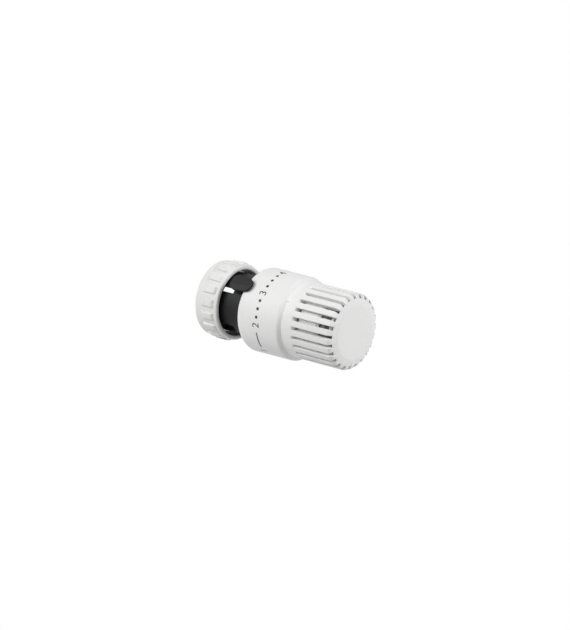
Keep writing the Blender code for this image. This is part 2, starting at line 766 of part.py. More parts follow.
def make_sensor(body, steel, brass, resin):
    """Liquid sensor: can, rear ring, lock ring, bellows and filling stub."""
    can = [
        (can_rear, can_bore),
        (can_rear, can_radius),
        (can_front, can_radius, CAN_ROUND),
        (can_front, 0.0),
        (can_front - CAN_WALL, 0.0),
        (can_front - CAN_WALL, can_bore),
    ]
    turned_piece("sensor_can", can, INNER_SEGMENTS, body, steel)
    ring = box_outline(
        rear_ring_rear, rear_ring_rear + REAR_RING_THICKNESS, bellows_bore, can_bore - FIT_GAP
    )
    turned_piece("sensor_rear_ring", ring, INNER_SEGMENTS, body, brass)
    lock_rear = cup_front + FIT_GAP
    lock = box_outline(lock_rear, lock_rear + LOCK_RING_THICKNESS, can_radius + FIT_GAP, cup_radius)
    turned_piece("sensor_lock_ring", lock, INNER_SEGMENTS, body, resin)
    stub_x = can_front + FIT_GAP
    stub = [
        (stub_x, 0.0),
        (stub_x, STUB_FLANGE_RADIUS),
        (stub_x + STUB_FLANGE, STUB_FLANGE_RADIUS),
        (stub_x + STUB_FLANGE, STUB_RADIUS),
        (stub_x + STUB_FLANGE + STUB_LENGTH, STUB_RADIUS),
        (stub_x + STUB_FLANGE + STUB_LENGTH, 0.0),
    ]
    turned_piece("fill_plug", stub, SMALL_SEGMENTS, body, brass)


def make_bellows(body, finish):
    """Bellows: folded wall, open at the rear and closed at the front."""
    fold = (bellows_front - bellows_rear) / (2 * BELLOWS_FOLDS + 1)
    outside = []
    inside = []
    for ridge in range(2 * BELLOWS_FOLDS + 2):
        x = bellows_rear + fold * ridge
        outer = bellows_crest if ridge % 2 else bellows_root
        outside.append((min(x, bellows_front), outer))
        if ridge <= 2 * BELLOWS_FOLDS:
            inside.append((x, outer - BELLOWS_WALL))
    end_x = bellows_front - BELLOWS_WALL
    inside.append((end_x, bellows_bore))
    outline = outside + [(bellows_front, 0.0), (end_x, 0.0)] + inside[::-1]
    turned_piece("bellows", outline, SMALL_SEGMENTS, body, finish)


def make_front_spacer(body, finish):
    """Spacer between the can and the hand wheel's closed end, with lugs round its middle."""
    rear = can_front + FIT_GAP
    front = disc_inside - FIT_GAP
    radius = SPACER_BORE + SPACER_WALL
    section = box_outline(rear, front, SPACER_BORE, radius)
    spacer = turned_piece("front_spacer", section, SMALL_SEGMENTS, body, finish)
    lugs = bmesh.new()
    middle = (rear + front) / 2
    lug = box_outline(
        middle - SPACER_LUG_THICKNESS / 2,
        middle + SPACER_LUG_THICKNESS / 2,
        radius - SPACER_WALL / 2,
        SPACER_LUG_REACH,
    )
    for angle in even_angles(SPACER_LUG_COUNT, SPACER_LUG_ANGLE):
        add_blade(lugs, lug, SPACER_LUG_WIDTH, angle)
    combine(spacer, helper("spacer_lugs", lugs, body), "UNION")


def make_push_line(pusher, pin, resin, steel, brass):
    """Spring cup with its rod, bellows plate, clip and pressure pin."""
    cup = [
        (spring_cup_rear, spring_cup_bore - CUP_REAR_LIP),
        (spring_cup_rear, spring_cup_radius),
        (spring_cup_front, spring_cup_radius),
        (spring_cup_front, ROD_RADIUS),
        (rod_front, ROD_RADIUS),
        (rod_front, 0.0),
        (spring_cup_front - CUP_FLOOR, 0.0),
        (spring_cup_front - CUP_FLOOR, spring_cup_bore),
        (spring_cup_rear + CUP_REAR_LIP, spring_cup_bore),
        (spring_cup_rear + CUP_REAR_LIP, spring_cup_bore - CUP_REAR_LIP),
    ]
    turned_piece("spring_cup", cup, SMALL_SEGMENTS, pusher, resin)
    plate_radius = bellows_bore - PLATE_GAP
    plate = [(plate_rear, 0.0), (plate_rear, plate_radius), (plate_front, plate_radius), (plate_front, 0.0)]
    turned_piece("bellows_plate", plate, SMALL_SEGMENTS, pusher, brass)
    clip = box_outline(clip_rear, clip_front, pin_bore, spring_cup_bore - FIT_GAP)
    turned_piece("pin_clip", clip, SMALL_SEGMENTS, pusher, steel)
    stub_radius = SPRING_RADIUS - SPRING_WIRE / 2 - SPRING_SIDE_GAP
    shaft = [
        (pin_tip, 0.0),
        (pin_tip, PIN_RADIUS - PIN_TIP_CHAMFER),
        (pin_tip + PIN_TIP_CHAMFER, PIN_RADIUS),
        (pin_head_rear, PIN_RADIUS),
        (pin_head_rear, spring_cup_bore - FIT_GAP),
        (pin_head_front, spring_cup_bore - FIT_GAP),
        (pin_head_front, stub_radius),
        (pin_head_front + PIN_STUB_LENGTH, stub_radius),
        (pin_head_front + PIN_STUB_LENGTH, 0.0),
    ]
    turned_piece("pressure_pin", shaft, SMALL_SEGMENTS, pin, resin)


def spring_points(per_turn):
    """Points along the spring's wire, as one even helix about the axis."""
    length = SPRING_LENGTH - SPRING_WIRE
    count = SPRING_TURNS * per_turn
    points = []
    for step in range(count + 1):
        angle = math.tau * step / per_turn
        x = spring_rear + SPRING_WIRE / 2 + length * step / count
        points.append(Vector((x, SPRING_RADIUS * math.sin(angle), SPRING_RADIUS * math.cos(angle))))
    return points


def spring_self_gap(per_turn):
    """Least gap between the wire and itself, over points at least half a turn apart."""
    points = spring_points(per_turn)
    gaps = [
        (a - b).length - SPRING_WIRE
        for index, a in enumerate(points)
        for b in points[index + per_turn // 2 :]
    ]
    return min(gaps)


def make_overtravel_spring(body, finish):
    """Coil spring, one unbroken tube along its helix."""
    curve = bpy.data.curves.new("overtravel_spring", "CURVE")
    curve.dimensions = "3D"
    curve.bevel_depth = SPRING_WIRE / 2
    curve.bevel_resolution = 1
    curve.use_fill_caps = True
    spline = curve.splines.new("POLY")
    points = spring_points(SPRING_POINTS_PER_TURN)
    spline.points.add(len(points) - 1)
    for point, place in zip(spline.points, points):
        point.co = (place.x - body["station"], place.y, place.z, 1.0)
    curve.materials.append(finish)
    spring = bpy.data.objects.new("overtravel_spring", curve)
    bpy.context.collection.objects.link(spring)
    spring.parent = body
    gap = spring_self_gap(GAP_POINTS_PER_TURN)
    print(f"overtravel_spring least gap to itself: {gap * 1000:.2f} mm")


def main():
    """Builds the head body by body."""
    clear_scene()
    white = material("white_moulding", (0.82, 0.82, 0.81), 0.35)
    shell_white = material("white_nut_sleeve", (0.82, 0.82, 0.81), 0.4)
    black = material("black_moulding", (0.03, 0.031, 0.034), 0.45)
    nickel = material("nickelled_brass", (0.66, 0.62, 0.54), 0.3, 1.0)
    steel = material("spring_steel", (0.5, 0.5, 0.5), 0.3, 1.0)
    brass = material("brass", (0.7, 0.53, 0.25), 0.3, 1.0)
    resin = material("white_resin", (0.78, 0.78, 0.76), 0.4)
    grey = material("dark_can", (0.11, 0.11, 0.11), 0.45, 0.6)
    sleeve_grey = material("sleeve_resin", (0.6, 0.6, 0.59), 0.45)

    base = axis_empty("base_body", 0.0)
    nut = axis_empty("nut_axis", 0.0, base)
    carrier = axis_empty("carrier_axis", carrier_rear, base)
    wheel = axis_empty("wheel_axis", wheel_rear, carrier)
    pusher = axis_empty("pusher_axis", spring_cup_rear, carrier)
    pin = axis_empty("pin_axis", pin_tip, pusher)

    make_base_socket(base, black)
    make_pin_guide(base, black, brass)
    make_nut_snap_ring(base, steel)
    make_nut_sleeve(nut, shell_white)
    make_nut_insert(nut, nickel)
    make_hand_wheel(wheel, white)
    make_drive_sleeve(wheel, sleeve_grey)
    make_carrier_snap_ring(wheel, steel)
    make_sensor_carrier(carrier, resin)
    make_sensor(carrier, grey, brass, resin)
    make_bellows(carrier, brass)
    make_front_spacer(carrier, resin)
    make_push_line(pusher, pin, resin, steel, brass)
    make_overtravel_spring(pusher, steel)


main()
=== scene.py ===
"""Looks of a radiator thermostat head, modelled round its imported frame.

The head's axis is +X, from the union nut to the closed end of the hand wheel, and +Z is up.
Angles about the axis are in degrees, from +Z towards -Y. Lengths are in metres.
"""

import json
import logging
import math
from collections.abc import Callable, Iterable, Iterator, Sequence
from dataclasses import dataclass
from enum import Enum
from pathlib import Path
from typing import Any, NamedTuple

import bmesh
import bpy
from mathutils import Euler, Matrix, Quaternion, Vector
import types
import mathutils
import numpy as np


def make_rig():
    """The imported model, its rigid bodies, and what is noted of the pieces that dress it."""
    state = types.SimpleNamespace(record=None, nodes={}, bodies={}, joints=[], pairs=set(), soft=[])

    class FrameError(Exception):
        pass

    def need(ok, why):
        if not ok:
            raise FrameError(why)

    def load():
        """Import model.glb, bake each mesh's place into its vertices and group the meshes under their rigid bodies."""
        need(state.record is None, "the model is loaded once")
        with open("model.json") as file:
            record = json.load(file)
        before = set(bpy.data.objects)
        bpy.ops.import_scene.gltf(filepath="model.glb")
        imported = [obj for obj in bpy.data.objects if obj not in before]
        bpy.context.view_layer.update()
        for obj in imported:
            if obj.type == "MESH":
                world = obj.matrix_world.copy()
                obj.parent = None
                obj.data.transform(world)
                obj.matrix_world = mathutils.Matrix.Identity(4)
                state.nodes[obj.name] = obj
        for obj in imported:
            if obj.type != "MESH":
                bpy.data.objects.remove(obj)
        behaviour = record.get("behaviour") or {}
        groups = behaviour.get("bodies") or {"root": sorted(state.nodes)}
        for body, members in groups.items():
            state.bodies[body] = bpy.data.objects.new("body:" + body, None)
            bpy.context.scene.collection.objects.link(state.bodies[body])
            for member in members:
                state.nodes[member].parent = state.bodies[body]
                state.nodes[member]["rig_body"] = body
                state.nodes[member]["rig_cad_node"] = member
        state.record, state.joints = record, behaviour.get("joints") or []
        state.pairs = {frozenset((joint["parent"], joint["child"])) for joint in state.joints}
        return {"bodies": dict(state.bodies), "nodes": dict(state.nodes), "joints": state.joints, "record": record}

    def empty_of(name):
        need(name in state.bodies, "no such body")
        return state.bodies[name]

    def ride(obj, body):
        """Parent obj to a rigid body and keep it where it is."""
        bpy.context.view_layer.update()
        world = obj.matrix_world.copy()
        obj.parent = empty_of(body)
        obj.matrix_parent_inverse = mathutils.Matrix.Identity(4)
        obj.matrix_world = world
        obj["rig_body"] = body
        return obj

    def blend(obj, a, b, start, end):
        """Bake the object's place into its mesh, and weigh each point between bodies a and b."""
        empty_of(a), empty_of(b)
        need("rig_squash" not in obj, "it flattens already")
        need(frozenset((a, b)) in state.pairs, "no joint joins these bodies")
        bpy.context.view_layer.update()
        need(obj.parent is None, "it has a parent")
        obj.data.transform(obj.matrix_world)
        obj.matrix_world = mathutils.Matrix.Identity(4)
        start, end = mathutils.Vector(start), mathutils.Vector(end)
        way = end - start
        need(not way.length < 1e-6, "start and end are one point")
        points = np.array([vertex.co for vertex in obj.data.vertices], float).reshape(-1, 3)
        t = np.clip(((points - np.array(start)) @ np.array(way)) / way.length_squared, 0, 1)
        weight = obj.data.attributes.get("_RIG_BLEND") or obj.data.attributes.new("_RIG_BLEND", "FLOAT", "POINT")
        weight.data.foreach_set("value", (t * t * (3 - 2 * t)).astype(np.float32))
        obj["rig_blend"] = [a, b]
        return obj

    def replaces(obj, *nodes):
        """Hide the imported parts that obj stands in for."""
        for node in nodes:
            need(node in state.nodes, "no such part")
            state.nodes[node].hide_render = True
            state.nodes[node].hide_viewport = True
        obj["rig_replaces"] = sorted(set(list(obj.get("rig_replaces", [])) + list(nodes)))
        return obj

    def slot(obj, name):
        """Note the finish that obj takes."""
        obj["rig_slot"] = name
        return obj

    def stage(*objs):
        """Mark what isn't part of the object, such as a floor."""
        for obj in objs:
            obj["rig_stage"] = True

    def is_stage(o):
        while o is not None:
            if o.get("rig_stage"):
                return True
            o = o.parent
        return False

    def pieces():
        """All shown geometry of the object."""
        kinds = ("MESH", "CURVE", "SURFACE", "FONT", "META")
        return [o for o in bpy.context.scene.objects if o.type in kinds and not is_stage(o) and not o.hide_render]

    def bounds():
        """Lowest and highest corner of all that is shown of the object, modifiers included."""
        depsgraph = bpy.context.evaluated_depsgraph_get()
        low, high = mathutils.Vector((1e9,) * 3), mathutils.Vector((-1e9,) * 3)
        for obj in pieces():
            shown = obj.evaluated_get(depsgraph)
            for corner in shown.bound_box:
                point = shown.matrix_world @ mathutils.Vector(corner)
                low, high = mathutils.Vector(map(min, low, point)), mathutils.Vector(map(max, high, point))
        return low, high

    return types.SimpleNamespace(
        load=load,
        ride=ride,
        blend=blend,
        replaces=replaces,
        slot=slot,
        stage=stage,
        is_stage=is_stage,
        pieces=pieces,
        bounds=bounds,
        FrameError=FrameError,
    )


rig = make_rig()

log = logging.getLogger("thermostat_head")

SIZE_FILE = Path("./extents.json")
WELD = 1e-6
ON_AXIS = 1e-7
START_SIZE = 0.001
LONGEST_FILLET_SHARE = 0.49
FILLET_STEPS = 6
ROUND_PROFILE = 0.5
SHARP_ANGLE = math.radians(35.0)
SMOOTH_ANGLE = math.radians(32.0)

Piece = bpy.types.Object
Edge = bmesh.types.BMEdge
Tree = bpy.types.NodeTree
Socket = bpy.types.NodeSocket
Outline = Iterable[Sequence[float]]


class Body(Enum):
    """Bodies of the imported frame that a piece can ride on."""

    BASE = "base"
    NUT = "nut"
    CARRIER = "carrier"
    WHEEL = "wheel"
    PUSHER = "pusher"
    PIN = "pin"


class Element(Enum):
    """Kinds of mesh element that an edit-mode step selects."""

    VERTEX = "VERT"
    EDGE = "EDGE"
    FACE = "FACE"


class Join(Enum):
    """Ways in which one shape is combined with another."""

    ADD = "UNION"
    CUT = "DIFFERENCE"
    KEEP = "INTERSECT"


class Corner(NamedTuple):
    """A corner of a drawn outline. An outline's rows hold what a corner takes.

    Attributes:
        x: Station along the head's axis.
        y: Radius in a turned outline, or distance sideways in a plan.
        fillet: Radius of the corner's rounding, or 0 for a sharp corner.
    """

    x: float
    y: float
    fillet: float = 0.0


@dataclass(frozen=True)
class Band:
    """A rectangular outline, with the same fillet at its four corners.

    Attributes:
        rear: Station of its rear side.
        front: Station of its front side.
        inner: Radius of its inner side.
        outer: Radius of its outer side.
        fillet: Radius of its corners' rounding, or 0 for sharp corners.
    """

    rear: float
    front: float
    inner: float
    outer: float
    fillet: float = 0.0

    def __iter__(self) -> Iterator[Corner]:
        """Goes round the corners, from the inner one at the rear.

        Returns:
            The corners in order.
        """
        rear, front = self.rear, self.front
        sides = ((rear, self.inner), (rear, self.outer), (front, self.outer), (front, self.inner))
        return iter([Corner(x, y, self.fillet) for x, y in sides])


def about_axis(x: float, radius: float, angle: float) -> Vector:
    """The point at a station and radius, at an angle in degrees about the head's axis."""
    turn = math.radians(angle)
    return Vector((x, -radius * math.sin(turn), radius * math.cos(turn)))


def even_angles(count: int, first: float = 0.0) -> list[float]:
    """Angles in degrees of a number of equal copies about the axis."""
    return [first + 360.0 * copy / count for copy in range(count)]


def radii(edge: Edge) -> list[float]:
    """Distances of an edge's two ends from the head's axis."""
    return [vertex.co.yz.length for vertex in edge.verts]


class Bench:
    """The modelling moves that all the pieces are made with."""

    @staticmethod
    def take(*pieces: Piece) -> None:
        """Leaves edit mode and selects only some objects, with the first of them active.

        Args:
            pieces: The objects, or none to deselect everything.
        """
        active = bpy.context.view_layer.objects.active
        if active is not None and active.mode != "OBJECT":
            bpy.ops.object.mode_set(mode="OBJECT")
        bpy.ops.object.select_all(action="DESELECT")
        for piece in pieces:
            piece.select_set(True)
        if pieces:
            bpy.context.view_layer.objects.active = pieces[0]

    @staticmethod
    def open(piece: Piece, element: Element) -> None:
        """Enters edit mode on a piece, with all of it selected.

        Args:
            piece: The object.
            element: Kind of element that is selected by.
        """
        Bench.take(piece)
        bpy.ops.object.mode_set(mode="EDIT")
        bpy.ops.mesh.select_mode(type=element.value)
        bpy.ops.mesh.select_all(action="SELECT")

    @staticmethod
    def close() -> None:
        """Leaves edit mode."""
        bpy.ops.object.mode_set(mode="OBJECT")

    @staticmethod
    def pick(piece: Piece, element: Element, test: Callable[[Any], bool]) -> int:
        """Selects, in edit mode, the elements that pass a test.

        Args:
            piece: The object in edit mode.
            element: VERTEX or EDGE, whichever the select mode is.
            test: Takes one element and says whether it is wanted.

        Returns:
            How many elements were selected.
        """
        bpy.ops.mesh.select_all(action="DESELECT")
        mesh = bmesh.from_edit_mesh(piece.data)
        items = mesh.verts if element is Element.VERTEX else mesh.edges
        wanted = [item for item in items if test(item)]
        for item in wanted:
            item.select_set(True)
        mesh.select_flush_mode()
        bmesh.update_edit_mesh(piece.data)
        return len(wanted)

    @staticmethod
    def weld(piece: Piece) -> Piece:
        """Merges doubled points of a piece and turns its faces outwards.

        Args:
            piece: The object that is changed.

        Returns:
            The piece.
        """
        Bench.open(piece, Element.VERTEX)
        bpy.ops.mesh.remove_doubles(threshold=WELD)
        bpy.ops.mesh.normals_make_consistent(inside=False)
        Bench.close()
        return piece

    @staticmethod
    def modify(piece: Piece, kind: str, **settings: Any) -> None:
        """Adds a modifier to a piece and applies it.

        Args:
            piece: The object that is changed.
            kind: Type of the modifier.
            settings: The modifier's own settings.
        """
        Bench.take(piece)
        bpy.ops.object.modifier_add(type=kind)
        modifier = piece.modifiers[-1]
        for name, value in settings.items():
            setattr(modifier, name, value)
        bpy.ops.object.modifier_apply(modifier=modifier.name)

    @staticmethod
    def draw(name: str, outline: Outline, place: Callable[[float, float], Vector]) -> Piece:
        """Draws a filled outline, by extruding one point from corner to corner.

        Args:
            name: Name of the new object.
            outline: Corners in order round the outline.
            place: Gives the point in space of an outline's x and y.

        Returns:
            An object with one face.
        """
        corners = [Corner(*row) for row in outline]
        points = [place(corner.x, corner.y) for corner in corners]
        Bench.take()
        bpy.ops.mesh.primitive_plane_add(size=START_SIZE, location=points[0])
        piece = bpy.context.object
        piece.name = name
        bpy.ops.object.transform_apply(location=True, rotation=True, scale=True)
        Bench.open(piece, Element.VERTEX)
        bpy.ops.mesh.merge(type="CENTER")
        for here, there in zip(points, points[1:]):
            move = {"value": tuple(there - here)}
            bpy.ops.mesh.extrude_vertices_move(TRANSFORM_OT_translate=move)
        bpy.ops.mesh.select_all(action="SELECT")
        bpy.ops.mesh.edge_face_add()
        for index, corner in enumerate(corners):
            if corner.fillet:
                Bench.round_corner(piece, points, index, corner.fillet)
        Bench.close()
        return piece

    @staticmethod
    def round_corner(piece: Piece, points: Sequence[Vector], index: int, fillet: float) -> None:
        """Rounds one corner of an open outline by bevelling its vertex.

        Args:
            piece: The outline's object, in edit mode.
            points: All the outline's corner points.
            index: Which of them to round.
            fillet: Radius of the rounding.
        """
        here = points[index]
        back = points[index - 1] - here
        ahead = points[(index + 1) % len(points)] - here
        reach = fillet / math.tan(back.angle(ahead) / 2)
        reach = min(reach, LONGEST_FILLET_SHARE * min(back.length, ahead.length))
        Bench.pick(piece, Element.VERTEX, lambda vertex: (vertex.co - here).length < WELD)
        bpy.ops.mesh.bevel(
            affect="VERTICES", offset=reach, segments=FILLET_STEPS, profile=ROUND_PROFILE
        )

    @staticmethod
    def lathe(name: str, outline: Outline, segments: int, phase: float = 0.0) -> Piece:
        """Turns an outline right round the head's axis.

        Args:
            name: Name of the new object.
            outline: Stations and radii.
            segments: Number of facets round the axis.
            phase: Angle on which one facet is centred.

        Returns:
            The turned solid.
        """
        start = phase + 180.0 / segments
        piece = Bench.draw(name, outline, lambda x, radius: about_axis(x, radius, start))
        Bench.open(piece, Element.EDGE)
        bpy.ops.mesh.delete(type="ONLY_FACE")
        if Bench.pick(piece, Element.EDGE, lambda edge: max(radii(edge)) < ON_AXIS):
            bpy.ops.mesh.delete(type="EDGE")
        bpy.ops.mesh.select_all(action="SELECT")
        bpy.ops.mesh.spin(steps=segments, angle=math.tau, center=(0, 0, 0), axis=(1, 0, 0))
        return Bench.weld(piece)

    @staticmethod
    def sweep(name: str, outline: Outline, centre: float, span: float, steps: int) -> Piece:
        """Turns an outline through part of a circle about the head's axis.

        Args:
            name: Name of the new object.
            outline: Stations and radii.
            centre: Angle of the sector's middle.
            span: Angle that the sector covers.
            steps: Number of facets over the span.

        Returns:
            The closed sector.
        """
        end = centre + span / 2
        turn = math.radians(span)
        piece = Bench.draw(name, outline, lambda x, radius: about_axis(x, radius, end))
        Bench.open(piece, Element.VERTEX)
        bpy.ops.mesh.spin(steps=steps, angle=turn, center=(0, 0, 0), axis=(1, 0, 0))
        return Bench.weld(piece)

    @staticmethod
    def blade(name: str, outline: Outline, width: float, angle: float = 0.0) -> Piece:
        """Extrudes an outline of stations and radii square to its own plane.

        Args:
            name: Name of the new object.
            outline: Stations and radii.
            width: Thickness of the blade.
            angle: Angle about the axis of the blade's middle plane.

        Returns:
            The closed blade.
        """
        sideways = about_axis(0.0, 1.0, angle + 90.0)
        low = -sideways * width / 2
        piece = Bench.draw(name, outline, lambda x, radius: about_axis(x, radius, angle) + low)
        return Bench.raise_face(piece, sideways * width)

    @staticmethod
    def blades(name: str, outline: Outline, width: float, angles: Iterable[float]) -> Piece:
        """Makes equal blades at several angles about the axis, as one object."""
        return Bench.ring(Bench.blade(name, outline, width), angles)

    @staticmethod
    def prism(name: str, outline: Outline, low: float, high: float, angle: float) -> Piece:
        """Extrudes a plan of stations and sideways distances outwards along a radius.

        Args:
            name: Name of the new object.
            outline: Stations and sideways distances.
            low: Radius of the prism's inner face.
            high: Radius of its outer face.
            angle: Angle about the axis of the radius that it is extruded along.

        Returns:
            The closed prism.
        """
        sideways = about_axis(0.0, 1.0, angle + 90.0)
        outwards = about_axis(0.0, 1.0, angle)
        foot = outwards * low
        piece = Bench.draw(name, outline, lambda x, y: Vector((x, 0, 0)) + sideways * y + foot)
        return Bench.raise_face(piece, outwards * (high - low))

    @staticmethod
    def raise_face(piece: Piece, shift: Vector) -> Piece:
        """Extrudes a drawn face to a closed solid.

        Args:
            piece: The object with the face.
            shift: How far it is extruded, and where to.

        Returns:
            The piece.
        """
        Bench.open(piece, Element.FACE)
        bpy.ops.mesh.extrude_region_move(TRANSFORM_OT_translate={"value": tuple(shift)})
        return Bench.weld(piece)

    @staticmethod
    def coil(name: str, outline: Outline, pitch: float, turns: int, steps: int) -> Piece:
        """Winds an outline of stations and radii in a helix about the head's axis.

        Args:
            name: Name of the new object.
            outline: Outline at the first turn's start.
            pitch: Advance along the axis in one turn.
            turns: Number of turns.
            steps: Facets in one turn.

        Returns:
            The closed coil.
        """
        piece = Bench.draw(name, outline, lambda x, radius: about_axis(x, radius, 0.0))
        Bench.open(piece, Element.FACE)
        bpy.ops.mesh.delete(type="ONLY_FACE")
        Bench.modify(
            piece,
            "SCREW",
            axis="X",
            angle=math.tau,
            screw_offset=pitch,
            iterations=turns,
            steps=steps,
            render_steps=steps,
        )
        Bench.open(piece, Element.EDGE)
        bpy.ops.mesh.select_non_manifold(extend=False)
        bpy.ops.mesh.fill_holes(sides=0)
        return Bench.weld(piece)

    @staticmethod
    def ring(piece: Piece, angles: Iterable[float]) -> Piece:
        """Copies a shape to each angle about the axis.

        Args:
            piece: The shape, which is used up.
            angles: Angles in degrees from where it is.

        Returns:
            The copies, joined.
        """
        copies = []
        for angle in angles:
            Bench.take(piece)
            bpy.ops.object.duplicate()
            copy = bpy.context.object
            copy.rotation_euler.x = math.radians(angle)
            bpy.ops.object.transform_apply(location=False, rotation=True, scale=False)
            copies.append(copy)
        bpy.data.objects.remove(piece, do_unlink=True)
        return Bench.join(copies)

    @staticmethod
    def join(pieces: Sequence[Piece]) -> Piece:
        """Joins objects into the first of them.

        Args:
            pieces: The objects.

        Returns:
            The first of them.
        """
        Bench.take(*pieces)
        bpy.ops.object.join()
        return pieces[0]

    @staticmethod
    def combine(piece: Piece, tool: Piece, join: Join) -> Piece:
        """Adds, cuts or keeps the overlap of another shape, which is used up.

        Args:
            piece: The object that is changed.
            tool: The shape it is combined with.
            join: How they are combined.

        Returns:
            The piece.
        """
        Bench.modify(piece, "BOOLEAN", operation=join.value, object=tool, solver="EXACT")
        bpy.data.objects.remove(tool, do_unlink=True)
        return Bench.weld(piece)

    @staticmethod
    def sharp(edge: Edge) -> bool:
        """Whether an edge is a sharp outside corner."""
        return edge.is_manifold and edge.is_convex and edge.calc_face_angle() > SHARP_ANGLE

    @staticmethod
    def bevel(piece: Piece, width: float, steps: int, test: Callable[[Edge], bool]) -> Piece:
        """Rounds the sharp outside edges of a piece that pass a test.

        Args:
            piece: The object that is changed.
            width: Width of the rounding on each side of an edge.
            steps: Facets across the rounding.
            test: Takes a sharp edge and says whether it is rounded.

        Returns:
            The piece.
        """
        Bench.open(piece, Element.EDGE)
        if Bench.pick(piece, Element.EDGE, lambda edge: Bench.sharp(edge) and test(edge)):
            bpy.ops.mesh.bevel(
                affect="EDGES",
                offset=width,
                segments=steps,
                profile=ROUND_PROFILE,
                clamp_overlap=True,
            )
        Bench.close()
        return piece


def wire(tree: Tree, node: bpy.types.Node, inputs: dict[str | int, Any]) -> None:
    """Feeds a node's inputs.

    Args:
        tree: The node tree.
        node: One of its nodes.
        inputs: What each input takes, by its name or number: an output socket or a plain value.
    """
    for name, value in inputs.items():
        if isinstance(value, Socket):
            tree.links.new(value, node.inputs[name])
        else:
            node.inputs[name].default_value = value


def add_node(
    tree: Tree, kind: str, inputs: dict[str | int, Any], **settings: Any
) -> bpy.types.bpy_prop_collection:
    """Adds a node to a tree and feeds its inputs.

    Args:
        tree: The node tree.
        kind: Type of the node.
        inputs: What each input takes.
        settings: The node's own settings.

    Returns:
        The node's outputs.
    """
    node = tree.nodes.new(kind)
    for name, value in settings.items():
        setattr(node, name, value)
    wire(tree, node, inputs)
    return node.outputs


class Effects:
    """Shader node groups that more than one finish uses."""

    GIVEN = ("Shade", "Roughness", "Spread", "Scale")
    RESULT = ("Roughness", "Height")
    FINE_DETAIL = 3.0
    FULL_SHADE = 1.0

    @staticmethod
    def group(name: str, drift: float, pattern: Callable[[Tree, Socket, Socket], Socket]) -> Tree:
        """A fine pattern that roughens a surface, over a slow drift of shade.

        Args:
            name: Name of the group, which is built on its first use.
            drift: Scale of the drift.
            pattern: Adds the fine pattern's nodes, from the place and the Scale input.

        Returns:
            A group with Colour, Shade, Roughness, Spread and Scale inputs, and Colour, Roughness
            and Height outputs.
        """
        if name in bpy.data.node_groups:
            return bpy.data.node_groups[name]
        tree = bpy.data.node_groups.new(name, "ShaderNodeTree")
        new_socket = tree.interface.new_socket
        for side, numbers in (("INPUT", Effects.GIVEN), ("OUTPUT", Effects.RESULT)):
            new_socket(name="Colour", in_out=side, socket_type="NodeSocketColor")
            for number in numbers:
                new_socket(name=number, in_out=side, socket_type="NodeSocketFloat")
        given = add_node(tree, "NodeGroupInput", {})
        place = add_node(tree, "ShaderNodeTexCoord", {})["Object"]
        fine = pattern(tree, place, given["Scale"])
        broad = add_node(tree, "ShaderNodeTexNoise", {"Vector": place, "Scale": drift})[0]
        multiply_add = {"operation": "MULTIPLY_ADD"}
        shade = {0: broad, 1: given["Shade"], 2: Effects.FULL_SHADE}
        value = add_node(tree, "ShaderNodeMath", shade, **multiply_add)[0]
        tint = {"Value": value, "Color": given["Colour"]}
        rough = {0: fine, 1: given["Spread"], 2: given["Roughness"]}
        result = {
            "Colour": add_node(tree, "ShaderNodeHueSaturation", tint)[0],
            "Roughness": add_node(tree, "ShaderNodeMath", rough, **multiply_add)[0],
            "Height": fine,
        }
        add_node(tree, "NodeGroupOutput", result)
        return tree

    @staticmethod
    def grain(tree: Tree, place: Socket, scale: Socket) -> Socket:
        """Adds the fine grain that a spark-eroded mould leaves."""
        noise = {"Vector": place, "Scale": scale, "Detail": Effects.FINE_DETAIL}
        return add_node(tree, "ShaderNodeTexNoise", noise)[0]

    @staticmethod
    def rings(tree: Tree, place: Socket, scale: Socket) -> Socket:
        """Adds the fine rings that a lathe or a drawing die leaves round the head's axis.

        Args:
            tree: The node tree.
            place: Point on the surface.
            scale: Rings to the metre.

        Returns:
            The rings' height.
        """
        split = add_node(tree, "ShaderNodeSeparateXYZ", {0: place})
        across = add_node(tree, "ShaderNodeCombineXYZ", {"Y": split["Y"], "Z": split["Z"]})[0]
        radius = add_node(tree, "ShaderNodeVectorMath", {0: across}, operation="LENGTH")["Value"]
        along = add_node(tree, "ShaderNodeMath", {0: split["X"], 1: radius}, operation="ADD")[0]
        noise = {"W": along, "Scale": scale, "Detail": Effects.FINE_DETAIL}
        return add_node(tree, "ShaderNodeTexNoise", noise, noise_dimensions="1D")[0]


